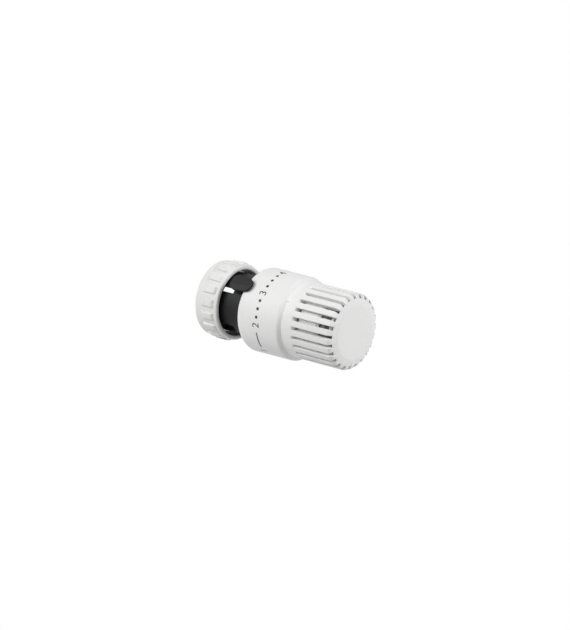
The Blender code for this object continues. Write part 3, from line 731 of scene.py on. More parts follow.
@dataclass(frozen=True)
class Finish:
    """A surface finish, made into a material on its first use.

    Attributes:
        name: Name of the material.
        slot: The record's material slot that it stands for.
        colour: Linear base colour.
        roughness: Roughness at the grain's floor.
        spread: Roughness added at the grain's crests.
        shade: How far the colour drifts over the surface.
        scale: Grains or lines to the metre.
        depth: Height of the grain or lines.
        metallic: 1 for bare metal, 0 for plastic and paint.
        specular: Strength of the mirror-like reflection, 0.5 on clean polished plastic.
    """

    name: str
    slot: str
    colour: tuple[float, float, float]
    roughness: float
    spread: float = 0.08
    shade: float = -0.04
    scale: float = 3200.0
    depth: float = 0.00001
    metallic: float = 0.0
    specular: float = 0.3

    def effect(self) -> Tree:
        """The node group that gives the finish its surface."""
        return Effects.group("moulded_grain", drift=90.0, pattern=Effects.grain)

    def material(self) -> bpy.types.Material:
        """Finds or makes the finish's material.

        Returns:
            The material.
        """
        if self.name in bpy.data.materials:
            return bpy.data.materials[self.name]
        made = bpy.data.materials.new(self.name)
        made.use_nodes = True
        tree = made.node_tree
        given = {
            "Colour": (*self.colour, 1.0),
            "Shade": self.shade,
            "Roughness": self.roughness,
            "Spread": self.spread,
            "Scale": self.scale,
        }
        surface = add_node(tree, "ShaderNodeGroup", given, node_tree=self.effect())
        bump = {"Height": surface["Height"], "Distance": self.depth}
        shader = {
            "Base Color": surface["Colour"],
            "Metallic": self.metallic,
            "Roughness": surface["Roughness"],
            "Specular IOR Level": self.specular,
            "Normal": add_node(tree, "ShaderNodeBump", bump)["Normal"],
        }
        wire(tree, tree.nodes["Principled BSDF"], shader)
        return made


@dataclass(frozen=True)
class MetalFinish(Finish):
    """A bare metal finish with turned or drawn lines."""

    scale: float = 9000.0
    depth: float = 0.000004
    metallic: float = 1.0
    specular: float = 0.5

    def effect(self) -> Tree:
        """The node group that gives the finish its surface."""
        return Effects.group("turned_lines", drift=160.0, pattern=Effects.rings)


class Finishes:
    """The finishes of the head's pieces."""

    WHEEL_WHITE = Finish("satin_white_wheel", "white_moulding", (0.83, 0.83, 0.825), 0.46)
    GRIP_WHITE = Finish(
        "satin_white_grip", "white_nut_sleeve", (0.79, 0.79, 0.78), 0.48, depth=0.000014
    )
    BASE_BLACK = Finish(
        "black_glass_filled",
        "black_moulding",
        (0.012, 0.0123, 0.013),
        0.5,
        spread=0.14,
        scale=2400.0,
        specular=0.2,
    )
    CARRIER_WHITE = Finish("white_acetal", "white_resin", (0.9, 0.9, 0.89), 0.46)
    SLEEVE_GREY = Finish("grey_acetal", "sleeve_resin", (0.6, 0.6, 0.59), 0.42)
    CAN_GREY = Finish(
        "dark_lacquer", "dark_can", (0.26, 0.26, 0.255), 0.42, spread=0.16, scale=1800.0
    )
    DIAL_INK = Finish(
        "dial_ink", "black_moulding", (0.03, 0.03, 0.032), 0.5, scale=5200.0, depth=0.000004
    )
    NICKEL = MetalFinish("nickel_plate", "nickelled_brass", (0.74, 0.72, 0.68), 0.32)
    BRASS = MetalFinish("plain_brass", "brass", (0.7, 0.53, 0.25), 0.22)
    STEEL = MetalFinish("drawn_steel", "spring_steel", (0.5, 0.5, 0.5), 0.24)


@dataclass(frozen=True)
class Flex:
    """Length over which a springy piece passes from its own body to the next one.

    Attributes:
        body: Body that the far end moves with.
        start: Station up to which the piece moves with its own body.
        end: Station from which it moves with the other body.
    """

    body: Body
    start: float
    end: float


def fit(
    piece: Piece, body: Body, finish: Finish, *nodes: str, flex: Flex | None = None
) -> None:
    """Dresses a modelled piece and hangs it on its body.

    Args:
        piece: The modelled object.
        body: Body of the frame that it moves with.
        finish: Its surface finish.
        nodes: Nodes of the frame that it stands for.
        flex: Where a springy piece goes over to another body.
    """
    Bench.take(piece)
    bpy.ops.object.shade_smooth_by_angle(angle=SMOOTH_ANGLE)
    piece.data.materials.clear()
    piece.data.materials.append(finish.material())
    if flex:
        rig.blend(
            piece,
            body.value,
            flex.body.value,
            start=(flex.start, 0.0, 0.0),
            end=(flex.end, 0.0, 0.0),
        )
    else:
        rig.ride(piece, body.value)
    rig.slot(piece, finish.slot)
    if nodes:
        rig.replaces(piece, *nodes)
    faces = len(piece.data.polygons)
    log.info("%s: %d faces, %s, on %s", piece.name, faces, finish.name, body.value)


@dataclass
class UnionNut:
    """Union nut: a moulded grip sleeve with raised pads, round a threaded metal insert."""

    length: float = 0.0148
    grip_bore: float = 0.0163
    lip_bore: float = 0.0169
    lip_start: float = 0.0103
    band_radius: float = 0.0193
    rear_round: float = 0.0014
    lip_round: float = 0.001
    pad_count: int = 18
    pad_start: float = 0.0046
    pad_end: float = 0.0127
    pad_width: float = 0.0036
    pad_height: float = 0.00095
    pad_ramp: float = 0.0007
    pad_front_ramp: float = 0.0013
    pad_side_round: float = 0.0005
    pad_round_steps: int = 4
    insert_rear: float = 0.0005
    insert_front: float = 0.01
    insert_radius: float = 0.016
    insert_edge: float = 0.0003
    thread_crest: float = 0.0142
    thread_root: float = 0.015
    thread_pitch: float = 0.0015
    thread_flat: float = 0.0001
    thread_flank: float = 30.0
    thread_turns: int = 5
    thread_start: float = -0.0002
    thread_mouth: float = 0.00025
    thread_steps: int = 60
    web_rear: float = 0.008
    web_bore: float = 0.0132
    segments: int = 180

    def build(self) -> None:
        """Builds and dresses the nut's pieces."""
        fit(self.grip(), Body.NUT, Finishes.GRIP_WHITE, "nut_sleeve")
        fit(self.insert(), Body.NUT, Finishes.NICKEL, "nut_insert")

    def grip(self) -> Piece:
        """Models the grip sleeve.

        Returns:
            The sleeve, with its ring of pads.
        """
        outline = [
            (0.0, self.grip_bore),
            (0.0, self.band_radius, self.rear_round),
            (self.length, self.band_radius, self.lip_round),
            (self.length, self.lip_bore, self.lip_round),
            (self.lip_start, self.lip_bore),
            (self.lip_start, self.grip_bore),
        ]
        grip = Bench.lathe("nut_grip", outline, self.segments)
        pads = Bench.ring(self.pad(), even_angles(self.pad_count))
        return Bench.combine(grip, pads, Join.ADD)

    def pad(self) -> Piece:
        """Models one pad.

        Returns:
            The pad, with ramped ends and rounded sides.
        """
        foot = self.band_radius - self.pad_height
        top = self.band_radius + self.pad_height
        outline = [
            (self.pad_start - self.pad_ramp, foot),
            (self.pad_start + self.pad_ramp, top),
            (self.pad_end - self.pad_front_ramp, top),
            (self.pad_end + self.pad_front_ramp, foot),
        ]
        pad = Bench.blade("nut_pad", outline, self.pad_width)
        steps = self.pad_round_steps
        return Bench.bevel(
            pad, self.pad_side_round, steps, lambda edge: min(radii(edge)) > self.band_radius
        )

    def insert(self) -> Piece:
        """Models the threaded insert.

        Returns:
            The insert, with its thread cut into the bore.
        """
        edge = self.insert_edge
        outline = [
            (self.insert_rear, self.thread_crest, edge),
            (self.insert_rear, self.insert_radius, edge),
            (self.insert_front, self.insert_radius, edge),
            (self.insert_front, self.web_bore, edge),
            (self.web_rear, self.web_bore),
            (self.web_rear, self.thread_crest),
        ]
        insert = Bench.lathe("nut_thread_insert", outline, self.segments)
        mouth = self.thread_crest - self.thread_mouth
        lean = math.tan(math.radians(self.thread_flank))
        spread = self.thread_flat + (self.thread_root - mouth) * lean
        outline = [
            (self.thread_start - spread, mouth),
            (self.thread_start - self.thread_flat, self.thread_root),
            (self.thread_start + self.thread_flat, self.thread_root),
            (self.thread_start + spread, mouth),
        ]
        pitch, turns, steps = self.thread_pitch, self.thread_turns, self.thread_steps
        groove = Bench.coil("thread_groove", outline, pitch, turns, steps)
        return Bench.combine(insert, groove, Join.CUT)


@dataclass
class Pointer:
    """Setting pointer: a curved paddle on a post, which reaches over the hand wheel's rear edge."""

    angle: float = 43.0
    under: float = 0.022
    top: float = 0.0235
    tail_x: float = 0.022
    tail_half_width: float = 0.0032
    shoulder_x: float = 0.0252
    half_width: float = 0.0042
    tip_x: float = 0.0347
    tip_half_width: float = 0.0033
    tip_round: float = 0.0032
    corner_round: float = 0.0022
    blank_half_widths: float = 2.5
    facets: int = 24
    edge: float = 0.00045
    edge_steps: int = 4
    post_front: float = 0.0256
    post_width: float = 0.0048
    post_foot: float = 0.0143
    ridge_width: float = 0.0006
    ridge_height: float = 0.0002
    ridge_setback: float = 0.0012
    ridge_steps: int = 2

    def paddle(self) -> Piece:
        """Models the paddle, as a curved plate trimmed to the pointer's plan.

        Returns:
            The paddle, with rounded edges and its ridge.
        """
        margin = self.half_width / 4
        blank = Band(self.tail_x - margin, self.tip_x + margin, self.under, self.top)
        span = math.degrees(self.blank_half_widths * self.half_width / self.under)
        plate = Bench.sweep("pointer_paddle", blank, self.angle, span, self.facets)
        side = [
            (self.tail_x, self.tail_half_width, self.corner_round),
            (self.shoulder_x, self.half_width, self.tip_round),
            (self.tip_x, self.tip_half_width, self.tip_round),
        ]
        outline = [(x, -y, fillet) for x, y, fillet in side] + side[::-1]
        low, high = self.under - margin, self.top + margin
        plan = Bench.prism("pointer_plan", outline, low, high, self.angle)
        Bench.combine(plate, plan, Join.KEEP)
        middle = (self.under + self.top) / 2
        Bench.bevel(plate, self.edge, self.edge_steps, lambda edge: min(radii(edge)) > middle)
        return Bench.combine(plate, self.ridge(), Join.ADD)

    def ridge(self) -> Piece:
        """Models the fine ridge along the middle of the paddle.

        Returns:
            The ridge, with rounded edges.
        """
        rear, front = self.tail_x + self.ridge_setback, self.tip_x - self.ridge_setback
        foot, crest = self.under + self.ridge_height, self.top + self.ridge_height
        outline = [
            (rear, foot),
            (rear, crest, self.ridge_height),
            (front, crest, self.ridge_height),
            (front, foot),
        ]
        ridge = Bench.blade("pointer_ridge", outline, self.ridge_width, self.angle)
        edge, steps = self.ridge_width / 3, self.ridge_steps
        return Bench.bevel(ridge, edge, steps, lambda edge: min(radii(edge)) > self.top)

    def post(self) -> Piece:
        """Models the post under the paddle's tail."""
        post = Band(self.tail_x, self.post_front, self.post_foot, (self.under + self.top) / 2)
        return Bench.blade("pointer_post", post, self.post_width, self.angle)


def split_ring(name: str, section: Band, split: float = 24.0, steps: int = 84) -> Piece:
    """Models a retaining ring, split on the side away from the pointer.

    Args:
        name: Name of the new object.
        section: The ring's section.
        split: Angle of the split.
        steps: Number of facets round the ring.

    Returns:
        The ring.
    """
    return Bench.sweep(name, section, Pointer.angle, 360.0 - split, steps)


@dataclass
class BaseSocket:
    """Black base: neck for the union nut, windowed tube, drive thread land and pointer."""

    seat_x: float = 0.0056
    neck_radius: float = 0.0129
    neck_bore: float = 0.0104
    groove_radius: float = 0.012
    groove_rear: float = 0.0062
    groove_front: float = 0.008
    shoulder_x: float = 0.0103
    tube_radius: float = 0.0153
    tube_bore: float = 0.013
    cone_rear: float = 0.0086
    cone_front: float = 0.0116
    ledge_rear: float = 0.021
    ledge_front: float = 0.0218
    ledge_bore: float = 0.0121
    land_rear: float = 0.03
    land_rise: float = 0.001
    land_radius: float = 0.0163
    tube_front: float = 0.041
    edge: float = 0.0003
    window_rear: float = 0.0113
    window_front: float = 0.0207
    window_span: float = 24.0
    window_angles: tuple[float, ...] = (133.0, 223.0, 313.0)
    window_facets: int = 12
    narrow_window_front: float = 0.0199
    narrow_window_span: float = 13.0
    narrow_window_angle: float = 47.5
    narrow_window_facets: int = 6
    window_edge: float = 0.0002
    window_edge_steps: int = 2
    key_count: int = 3
    key_groove_rear: float = 0.0246
    key_groove_width: float = 0.0036
    key_groove_radius: float = 0.0142
    stop_angle: float = 145.0
    stop_span: float = 99.0
    stop_front: float = 0.04708
    stop_bore: float = 0.0133
    stop_radius: float = 0.016
    stop_facets: int = 40
    ring: Band = Band(0.0065, 0.0077, 0.0123, 0.0139, 0.0003)
    plate: Band = Band(0.0221, 0.0243, 0.0048, 0.0127, 0.0003)
    bush_rear: float = 0.0214
    bush_front: float = 0.0254
    bush_flange_rear: float = 0.0246
    bush_bore: float = 0.0028
    bush_radius: float = 0.0045
    bush_flange_radius: float = 0.006
    segments: int = 144

    def build(self) -> None:
        """Builds and dresses the base's pieces."""
        fit(self.socket(Pointer()), Body.BASE, Finishes.BASE_BLACK, "base_socket")
        plate = Bench.lathe("guide_plate", self.plate, self.segments)
        fit(plate, Body.BASE, Finishes.BASE_BLACK, "pin_guide_plate")
        fit(self.guide_bush(), Body.BASE, Finishes.BRASS, "pin_guide_bush")
        ring = split_ring("nut_retaining_ring", self.ring)
        fit(ring, Body.BASE, Finishes.STEEL, "nut_snap_ring")

    def socket(self, pointer: Pointer) -> Piece:
        """Models the base in one moulding with its pointer.

        Args:
            pointer: The pointer that stands on the tube.

        Returns:
            The base.
        """
        edge = self.edge
        outline = [
            (self.seat_x, self.neck_bore, edge),
            (self.seat_x, self.neck_radius, edge),
            (self.groove_rear, self.neck_radius),
            (self.groove_rear, self.groove_radius),
            (self.groove_front, self.groove_radius),
            (self.groove_front, self.neck_radius),
            (self.shoulder_x, self.neck_radius),
            (self.shoulder_x, self.tube_radius, edge),
            (self.land_rear, self.tube_radius),
            (self.land_rear + self.land_rise, self.land_radius),
            (self.tube_front, self.land_radius, edge),
            (self.tube_front, self.tube_bore, edge),
            (self.ledge_front, self.tube_bore),
            (self.ledge_front, self.ledge_bore),
            (self.ledge_rear, self.ledge_bore),
            (self.ledge_rear, self.tube_bore),
            (self.cone_front, self.tube_bore),
            (self.cone_rear, self.neck_bore),
        ]
        socket = Bench.lathe("base_moulding", outline, self.segments)
        Bench.combine(socket, self.stop_arc(), Join.ADD)
        Bench.combine(socket, self.windows(), Join.CUT)
        Bench.bevel(socket, self.window_edge, self.window_edge_steps, self.beside_window)
        Bench.combine(socket, self.key_grooves(), Join.CUT)
        Bench.combine(socket, pointer.post(), Join.ADD)
        return Bench.combine(socket, pointer.paddle(), Join.ADD)

    def beside_window(self, edge: Edge) -> bool:
        """Whether an edge is on a window's outer rim.

        Args:
            edge: A sharp edge of the base.

        Returns:
            True on the rim.
        """
        low, high = self.window_rear - self.edge, self.window_front + self.edge
        within = all(low < vertex.co.x < high for vertex in edge.verts)
        return within and min(radii(edge)) > self.tube_radius - self.edge

    def windows(self) -> Piece:
        """Models the shapes that cut the tube's windows.

        Returns:
            The shapes, joined.
        """
        wall = self.tube_radius - self.tube_bore
        inside, outside = self.tube_bore - wall / 2, self.tube_radius + wall
        wide = Band(self.window_rear, self.window_front, inside, outside)
        narrow = Band(self.window_rear, self.narrow_window_front, inside, outside)
        cuts = [
            Bench.sweep("window", wide, angle, self.window_span, self.window_facets)
            for angle in self.window_angles
        ]
        angle, span = self.narrow_window_angle, self.narrow_window_span
        cuts.append(Bench.sweep("window", narrow, angle, span, self.narrow_window_facets))
        return Bench.join(cuts)

    def key_grooves(self) -> Piece:
        """Models the shapes that cut the grooves which keep the sensor carrier from turning.

        Returns:
            The shapes, joined.
        """
        front = self.stop_front + self.land_rise
        groove = Band(self.key_groove_rear, front, self.ledge_bore, self.key_groove_radius)
        angles = even_angles(self.key_count)
        return Bench.blades("key_groove", groove, self.key_groove_width, angles)

    def stop_arc(self) -> Piece:
        """Models the raised arc that ends the hand wheel's turning.

        Returns:
            The arc.
        """
        rear = self.tube_front - self.land_rise
        arc = Band(rear, self.stop_front, self.stop_bore, self.stop_radius)
        return Bench.sweep("stop_arc", arc, self.stop_angle, self.stop_span, self.stop_facets)

    def guide_bush(self) -> Piece:
        """Models the flanged bush in the plate's hole.

        Returns:
            The bush.
        """
        outline = [
            (self.bush_rear, self.bush_bore, self.edge),
            (self.bush_rear, self.bush_radius, self.edge),
            (self.bush_flange_rear, self.bush_radius),
            (self.bush_flange_rear, self.bush_flange_radius, self.edge),
            (self.bush_front, self.bush_flange_radius, self.edge),
            (self.bush_front, self.bush_bore, self.edge),
        ]
        return Bench.lathe("guide_bush", outline, self.segments // 2)


@dataclass
class HandWheel:
    """Hand wheel: scale barrel, step and collar, and a slotted cage with a closed end."""

    rear: float = 0.0292
    barrel_radius: float = 0.0215
    barrel_front_radius: float = 0.0213
    barrel_bore: float = 0.0192
    rear_radius: float = 0.0198
    rear_edge: float = 0.00025
    crown_x: float = 0.0312
    crown_round: float = 0.0034
    step_x: float = 0.0553
    step_round: float = 0.0015
    step_root: float = 0.0002
    collar_x: float = 0.0567
    collar_radius: float = 0.0194
    collar_bore: float = 0.0174
    cone_x: float = 0.053
    groove_rear: float = 0.0597
    groove_front: float = 0.0612
    groove_radius: float = 0.0184
    shoulder_x: float = 0.0627
    cage_radius: float = 0.0193
    cage_bore: float = 0.0164
    rim_x: float = 0.0866
    rim_round: float = 0.0024
    front: float = 0.0882
    disc_radius: float = 0.0136
    disc_round: float = 0.004
    disc_inside: float = 0.0868
    slot_count: int = 25
    slot_width: float = 0.0018
    slot_phase: float = 41.7
    slot_x: float = 0.0629
    slot_ramp: float = 0.0003
    slot_lead: float = 0.0008
    slot_lead_depth: float = 0.001
    slot_edge: float = 0.0004
    slot_edge_steps: int = 3
    slot_end: float = 0.0869
    notch_radius: float = 0.0161
    notch_rise: float = 0.00115
    nub: Band = Band(0.0546, 0.0574, 0.0184, 0.02)
    nub_angle: float = 47.0
    nub_width: float = 0.001
    nub_edge: float = 0.0003
    nub_edge_steps: int = 2
    key_count: int = 6
    key_groove_front: float = 0.0423
    key_groove_width: float = 0.0036
    key_groove_radius: float = 0.02
    facets_per_slot: int = 6
    ring: Band = Band(0.06, 0.0609, 0.0159, 0.0181, 0.0002)
    surface_tolerance: float = 0.00004

    def build(self) -> Piece:
        """Builds and dresses the hand wheel's pieces.

        Returns:
            The wheel's moulding, which the scale is printed on.
        """
        wheel = self.moulding()
        fit(wheel, Body.WHEEL, Finishes.WHEEL_WHITE, "hand_wheel")
        ring = split_ring("wheel_retaining_ring", self.ring)
        fit(ring, Body.WHEEL, Finishes.STEEL, "carrier_snap_ring")
        return wheel

    def moulding(self) -> Piece:
        """Models the wheel in one moulding.

        Returns:
            The wheel, with its slots, key grooves and nub.
        """
        outline = [
            (self.rear, self.barrel_bore, self.rear_edge),
            (self.rear, self.rear_radius, self.rear_edge),
            (self.crown_x, self.barrel_radius, self.crown_round),
            (self.step_x, self.barrel_front_radius, self.step_round),
            (self.collar_x, self.collar_radius, self.step_root),
            (self.rim_x, self.cage_radius, self.rim_round),
            (self.front, self.disc_radius, self.disc_round),
            (self.front, 0.0),
            (self.disc_inside, 0.0),
            (self.disc_inside, self.cage_bore),
            (self.shoulder_x, self.cage_bore),
            (self.shoulder_x, self.collar_bore),
            (self.groove_front, self.collar_bore),
            (self.groove_front, self.groove_radius),
            (self.groove_rear, self.groove_radius),
            (self.groove_rear, self.collar_bore),
            (self.step_x, self.collar_bore),
            (self.cone_x, self.barrel_bore),
        ]
        facets = self.slot_count * self.facets_per_slot
        wheel = Bench.lathe("dial_wheel", outline, facets, self.slot_phase)
        Bench.combine(wheel, self.slots(), Join.CUT)
        Bench.bevel(wheel, self.slot_edge, self.slot_edge_steps, self.on_slot_rim)
        Bench.combine(wheel, self.key_grooves(), Join.CUT)
        return Bench.combine(wheel, self.stop_nub(), Join.ADD)

    def on_slot_rim(self, edge: Edge) -> bool:
        """Whether an edge runs round the outer mouth of a slot.

        Args:
            edge: A sharp edge of the wheel.

        Returns:
            True on the mouth.
        """
        mid_wall = (self.cage_bore + self.cage_radius) / 2
        mid_lead = self.collar_radius - self.slot_lead_depth / 2
        for vertex in edge.verts:
            lowest = mid_wall
            if vertex.co.x > self.disc_inside + self.surface_tolerance:
                lowest = self.notch_radius
            elif vertex.co.x < self.slot_x + 2 * self.slot_lead:
                lowest = mid_lead
            if vertex.co.yz.length < lowest - self.surface_tolerance:
                return False
        return min(vertex.co.x for vertex in edge.verts) > self.slot_x - self.surface_tolerance

    def slots(self) -> Piece:
        """Models the shapes that cut the cage's slots, open over the rounded front edge.

        Returns:
            The shapes, joined.
        """
        wall = self.collar_radius - self.cage_bore
        above = self.collar_radius + wall
        below = self.cage_bore - wall / 3
        lead_foot = self.slot_x + self.slot_lead
        lean = (self.front - self.rim_x) / (self.cage_radius - self.disc_radius)
        mouth_x = self.rim_x + lean * (self.cage_radius - self.notch_radius)
        outline = [
            (self.slot_x - wall * self.slot_lead / self.slot_lead_depth, above),
            (lead_foot, self.collar_radius - self.slot_lead_depth),
            (lead_foot + self.slot_ramp, below),
            (self.slot_end, below),
            (self.slot_end, self.notch_radius + self.notch_rise),
            (2 * mouth_x - self.slot_end, self.notch_radius - self.notch_rise),
            (self.front + wall, self.notch_radius - self.notch_rise),
            (self.front + wall, above),
        ]
        angles = even_angles(self.slot_count, self.slot_phase)
        return Bench.blades("cage_slot", outline, self.slot_width, angles)

    def key_grooves(self) -> Piece:
        """Models the shapes that cut the grooves for the drive sleeve's keys.

        Returns:
            The shapes, joined.
        """
        rear, foot = self.rear - self.slot_width, self.collar_bore
        groove = Band(rear, self.key_groove_front, foot, self.key_groove_radius)
        angles = even_angles(self.key_count)
        return Bench.blades("wheel_key_groove", groove, self.key_groove_width, angles)

    def stop_nub(self) -> Piece:
        """Models the small stop nub on the step.

        Returns:
            The nub, with rounded edges.
        """
        nub = Bench.blade("wheel_nub", self.nub, self.nub_width, self.nub_angle)
        width, steps = self.nub_edge, self.nub_edge_steps
        return Bench.bevel(nub, width, steps, lambda edge: max(radii(edge)) > self.collar_radius)


@dataclass
class DialPrint:
    """Setting scale printed round the barrel: numbers, dots and a line."""

    station: float = 0.0424
    barrel_radius: float = 0.0214
    digits: tuple[tuple[str, int], ...] = (("4", 0), ("3", 1), ("2", 2), ("1", 3), ("5", -1))
    digit_height: float = 0.0058
    digit_angle: float = 2.0
    digit_step: float = 45.0
    dotted_steps: tuple[int, ...] = (0, 1)
    dot_shares: tuple[float, ...] = (0.25, 0.5, 0.75)
    dot_radius: float = 0.0008
    dot_facets: int = 24
    line_width: float = 0.00065
    line_centre: float = 115.0
    line_span: float = 25.0
    line_facets: int = 40
    lift: float = 0.000015
    ink: float = 0.00003
    strip: float = 0.0005
    hover: float = 0.0003

    def build(self, wheel: Piece) -> None:
        """Prints the scale on the wheel.

        Args:
            wheel: The wheel's moulding.
        """
        marks = [self.digit(text, self.angle(step)) for text, step in self.digits]
        for step in self.dotted_steps:
            marks += [self.dot(self.angle(step + share)) for share in self.dot_shares]
        scale = Bench.join(marks)
        scale.name = "dial_scale"
        self.wrap(scale, wheel)
        fit(Bench.join([scale, self.line()]), Body.WHEEL, Finishes.DIAL_INK)

    def angle(self, step: float) -> float:
        """Angle about the axis of a step of the scale, counted from the 4."""
        return self.digit_angle + self.digit_step * step

    def placed(self, mark: Piece, angle: float) -> Piece:
        """Lays a flat mark on the barrel, with its top towards the nut.

        Args:
            mark: A mark drawn flat, the right way up, about the origin.
            angle: Angle about the axis where it goes.

        Returns:
            The mark.
        """
        above = Matrix.Translation((self.station, 0.0, self.barrel_radius + self.hover))
        turn = Matrix.Rotation(math.radians(angle), 4, "X")
        mark.matrix_world = turn @ above @ Matrix.Rotation(math.pi / 2, 4, "Z")
        Bench.take(mark)
        bpy.ops.object.transform_apply(location=True, rotation=True, scale=True)
        return mark

    def digit(self, text: str, angle: float) -> Piece:
        """Draws one number, cut into strips that can follow the barrel.

        Args:
            text: The number.
            angle: Angle about the axis where it goes.

        Returns:
            The number, flat on the barrel.
        """
        Bench.take()
        bpy.ops.object.text_add()
        digit = bpy.context.object
        digit.data.body = text
        digit.data.size = self.digit_height
        digit.data.align_x = "CENTER"
        digit.data.align_y = "CENTER"
        bpy.ops.object.convert(target="MESH")
        digit = bpy.context.object
        Bench.open(digit, Element.FACE)
        cuts = int(self.digit_height / self.strip)
        for cut in range(-cuts, cuts + 1):
            bpy.ops.mesh.select_all(action="SELECT")
            bpy.ops.mesh.bisect(plane_co=(cut * self.strip, 0.0, 0.0), plane_no=(1.0, 0.0, 0.0))
        bpy.ops.mesh.select_all(action="SELECT")
        bpy.ops.mesh.remove_doubles(threshold=WELD)
        Bench.close()
        return self.placed(digit, angle)

    def dot(self, angle: float) -> Piece:
        """Draws one round dot.

        Args:
            angle: Angle about the axis where it goes.

        Returns:
            The dot, flat on the barrel.
        """
        Bench.take()
        bpy.ops.mesh.primitive_circle_add(
            vertices=self.dot_facets, radius=self.dot_radius, fill_type="NGON"
        )
        dot = bpy.context.object
        Bench.open(dot, Element.FACE)
        bpy.ops.mesh.inset(thickness=self.dot_radius / 2)
        Bench.close()
        return self.placed(dot, angle)

    def wrap(self, scale: Piece, wheel: Piece) -> None:
        """Lays the flat marks down on the barrel and gives them the thickness of the ink.

        Args:
            scale: The joined marks.
            wheel: The wheel's moulding.
        """
        Bench.modify(
            scale,
            "SHRINKWRAP",
            target=wheel,
            wrap_method="NEAREST_SURFACEPOINT",
            wrap_mode="ABOVE_SURFACE",
            offset=self.lift,
        )
        Bench.modify(scale, "SOLIDIFY", thickness=self.ink, offset=1.0)

    def line(self) -> Piece:
        """Draws the line between two numbers.

        Returns:
            The line, as an arc round the barrel.
        """
        half = self.line_width / 2
        low = self.barrel_radius + self.lift
        section = Band(self.station - half, self.station + half, low, low + self.ink)
        return Bench.sweep("dial_line", section, self.line_centre, self.line_span, self.line_facets)


@dataclass
class DriveSleeve:
    """Threaded sleeve, keyed into the hand wheel, with the lug that meets the base's stops."""

    wall: Band = Band(0.03, 0.04617, 0.0166, 0.0189, 0.0003)
    key: Band = Band(0.0303, 0.042, 0.0178, 0.0197, 0.0003)
    key_count: int = 6
    key_width: float = 0.003
    lug: Band = Band(0.04457, 0.04587, 0.0144, 0.0172)
    lug_angle: float = 0.0
    lug_span: float = 12.0
    lug_facets: int = 8
    segments: int = 120

    def build(self) -> None:
        """Builds and dresses the sleeve."""
        sleeve = Bench.lathe("driver_sleeve", self.wall, self.segments)
        keys = Bench.blades("sleeve_key", self.key, self.key_width, even_angles(self.key_count))
        lug = Bench.sweep("stop_lug", self.lug, self.lug_angle, self.lug_span, self.lug_facets)
        for tool in (keys, lug):
            Bench.combine(sleeve, tool, Join.ADD)
        fit(sleeve, Body.WHEEL, Finishes.SLEEVE_GREY, "drive_sleeve")


@dataclass
class SensorCarrier:
    """Carrier: keyed neck in the base, flange in the hand wheel and cup round the sensor."""

    rear: float = 0.02787
    neck_radius: float = 0.0126
    neck_bore: float = 0.0107
    hub_rear: float = 0.0598
    hub_radius: float = 0.0146
    flange_rear: float = 0.0612
    flange_front: float = 0.0624
    flange_radius: float = 0.0171
    cup_rear: float = 0.0641
    cup_floor: float = 0.0651
    cup_front: float = 0.0756
    cup_radius: float = 0.0159
    cup_bore: float = 0.0149
    guide_rear: float = 0.0524
    guide_bore: float = 0.00825
    edge: float = 0.0003
    key: Band = Band(0.02887, 0.04087, 0.0117, 0.0139, 0.0003)
    key_count: int = 3
    key_width: float = 0.003
    lock: Band = Band(0.0759, 0.0769, 0.0149, 0.0159, 0.0003)
    segments: int = 120

    def build(self) -> None:
        """Builds and dresses the carrier and the ring that locks the sensor in it."""
        fit(self.moulding(), Body.CARRIER, Finishes.CARRIER_WHITE, "sensor_carrier")
        lock = Bench.lathe("carrier_lock_ring", self.lock, self.segments)
        fit(lock, Body.CARRIER, Finishes.CARRIER_WHITE, "sensor_lock_ring")

    def moulding(self) -> Piece:
        """Models the carrier in one moulding.

        Returns:
            The carrier, with its keys.
        """
        edge = self.edge
        outline = [
            (self.rear, self.neck_bore, edge),
            (self.rear, self.neck_radius, edge),
            (self.hub_rear, self.neck_radius),
            (self.hub_rear, self.hub_radius, edge),
            (self.flange_rear, self.hub_radius),
            (self.flange_rear, self.flange_radius, edge),
            (self.flange_front, self.flange_radius, edge),
            (self.flange_front, self.neck_radius),
            (self.cup_rear, self.neck_radius),
            (self.cup_rear, self.cup_radius, edge),
            (self.cup_front, self.cup_radius, edge),
            (self.cup_front, self.cup_bore, edge),
            (self.cup_floor, self.cup_bore),
            (self.cup_floor, self.guide_bore, edge),
            (self.guide_rear, self.guide_bore, edge),
            (self.guide_rear, self.neck_bore),
        ]
        carrier = Bench.lathe("carrier_moulding", outline, self.segments)
        keys = Bench.blades("carrier_key", self.key, self.key_width, even_angles(self.key_count))
        return Bench.combine(carrier, keys, Join.ADD)


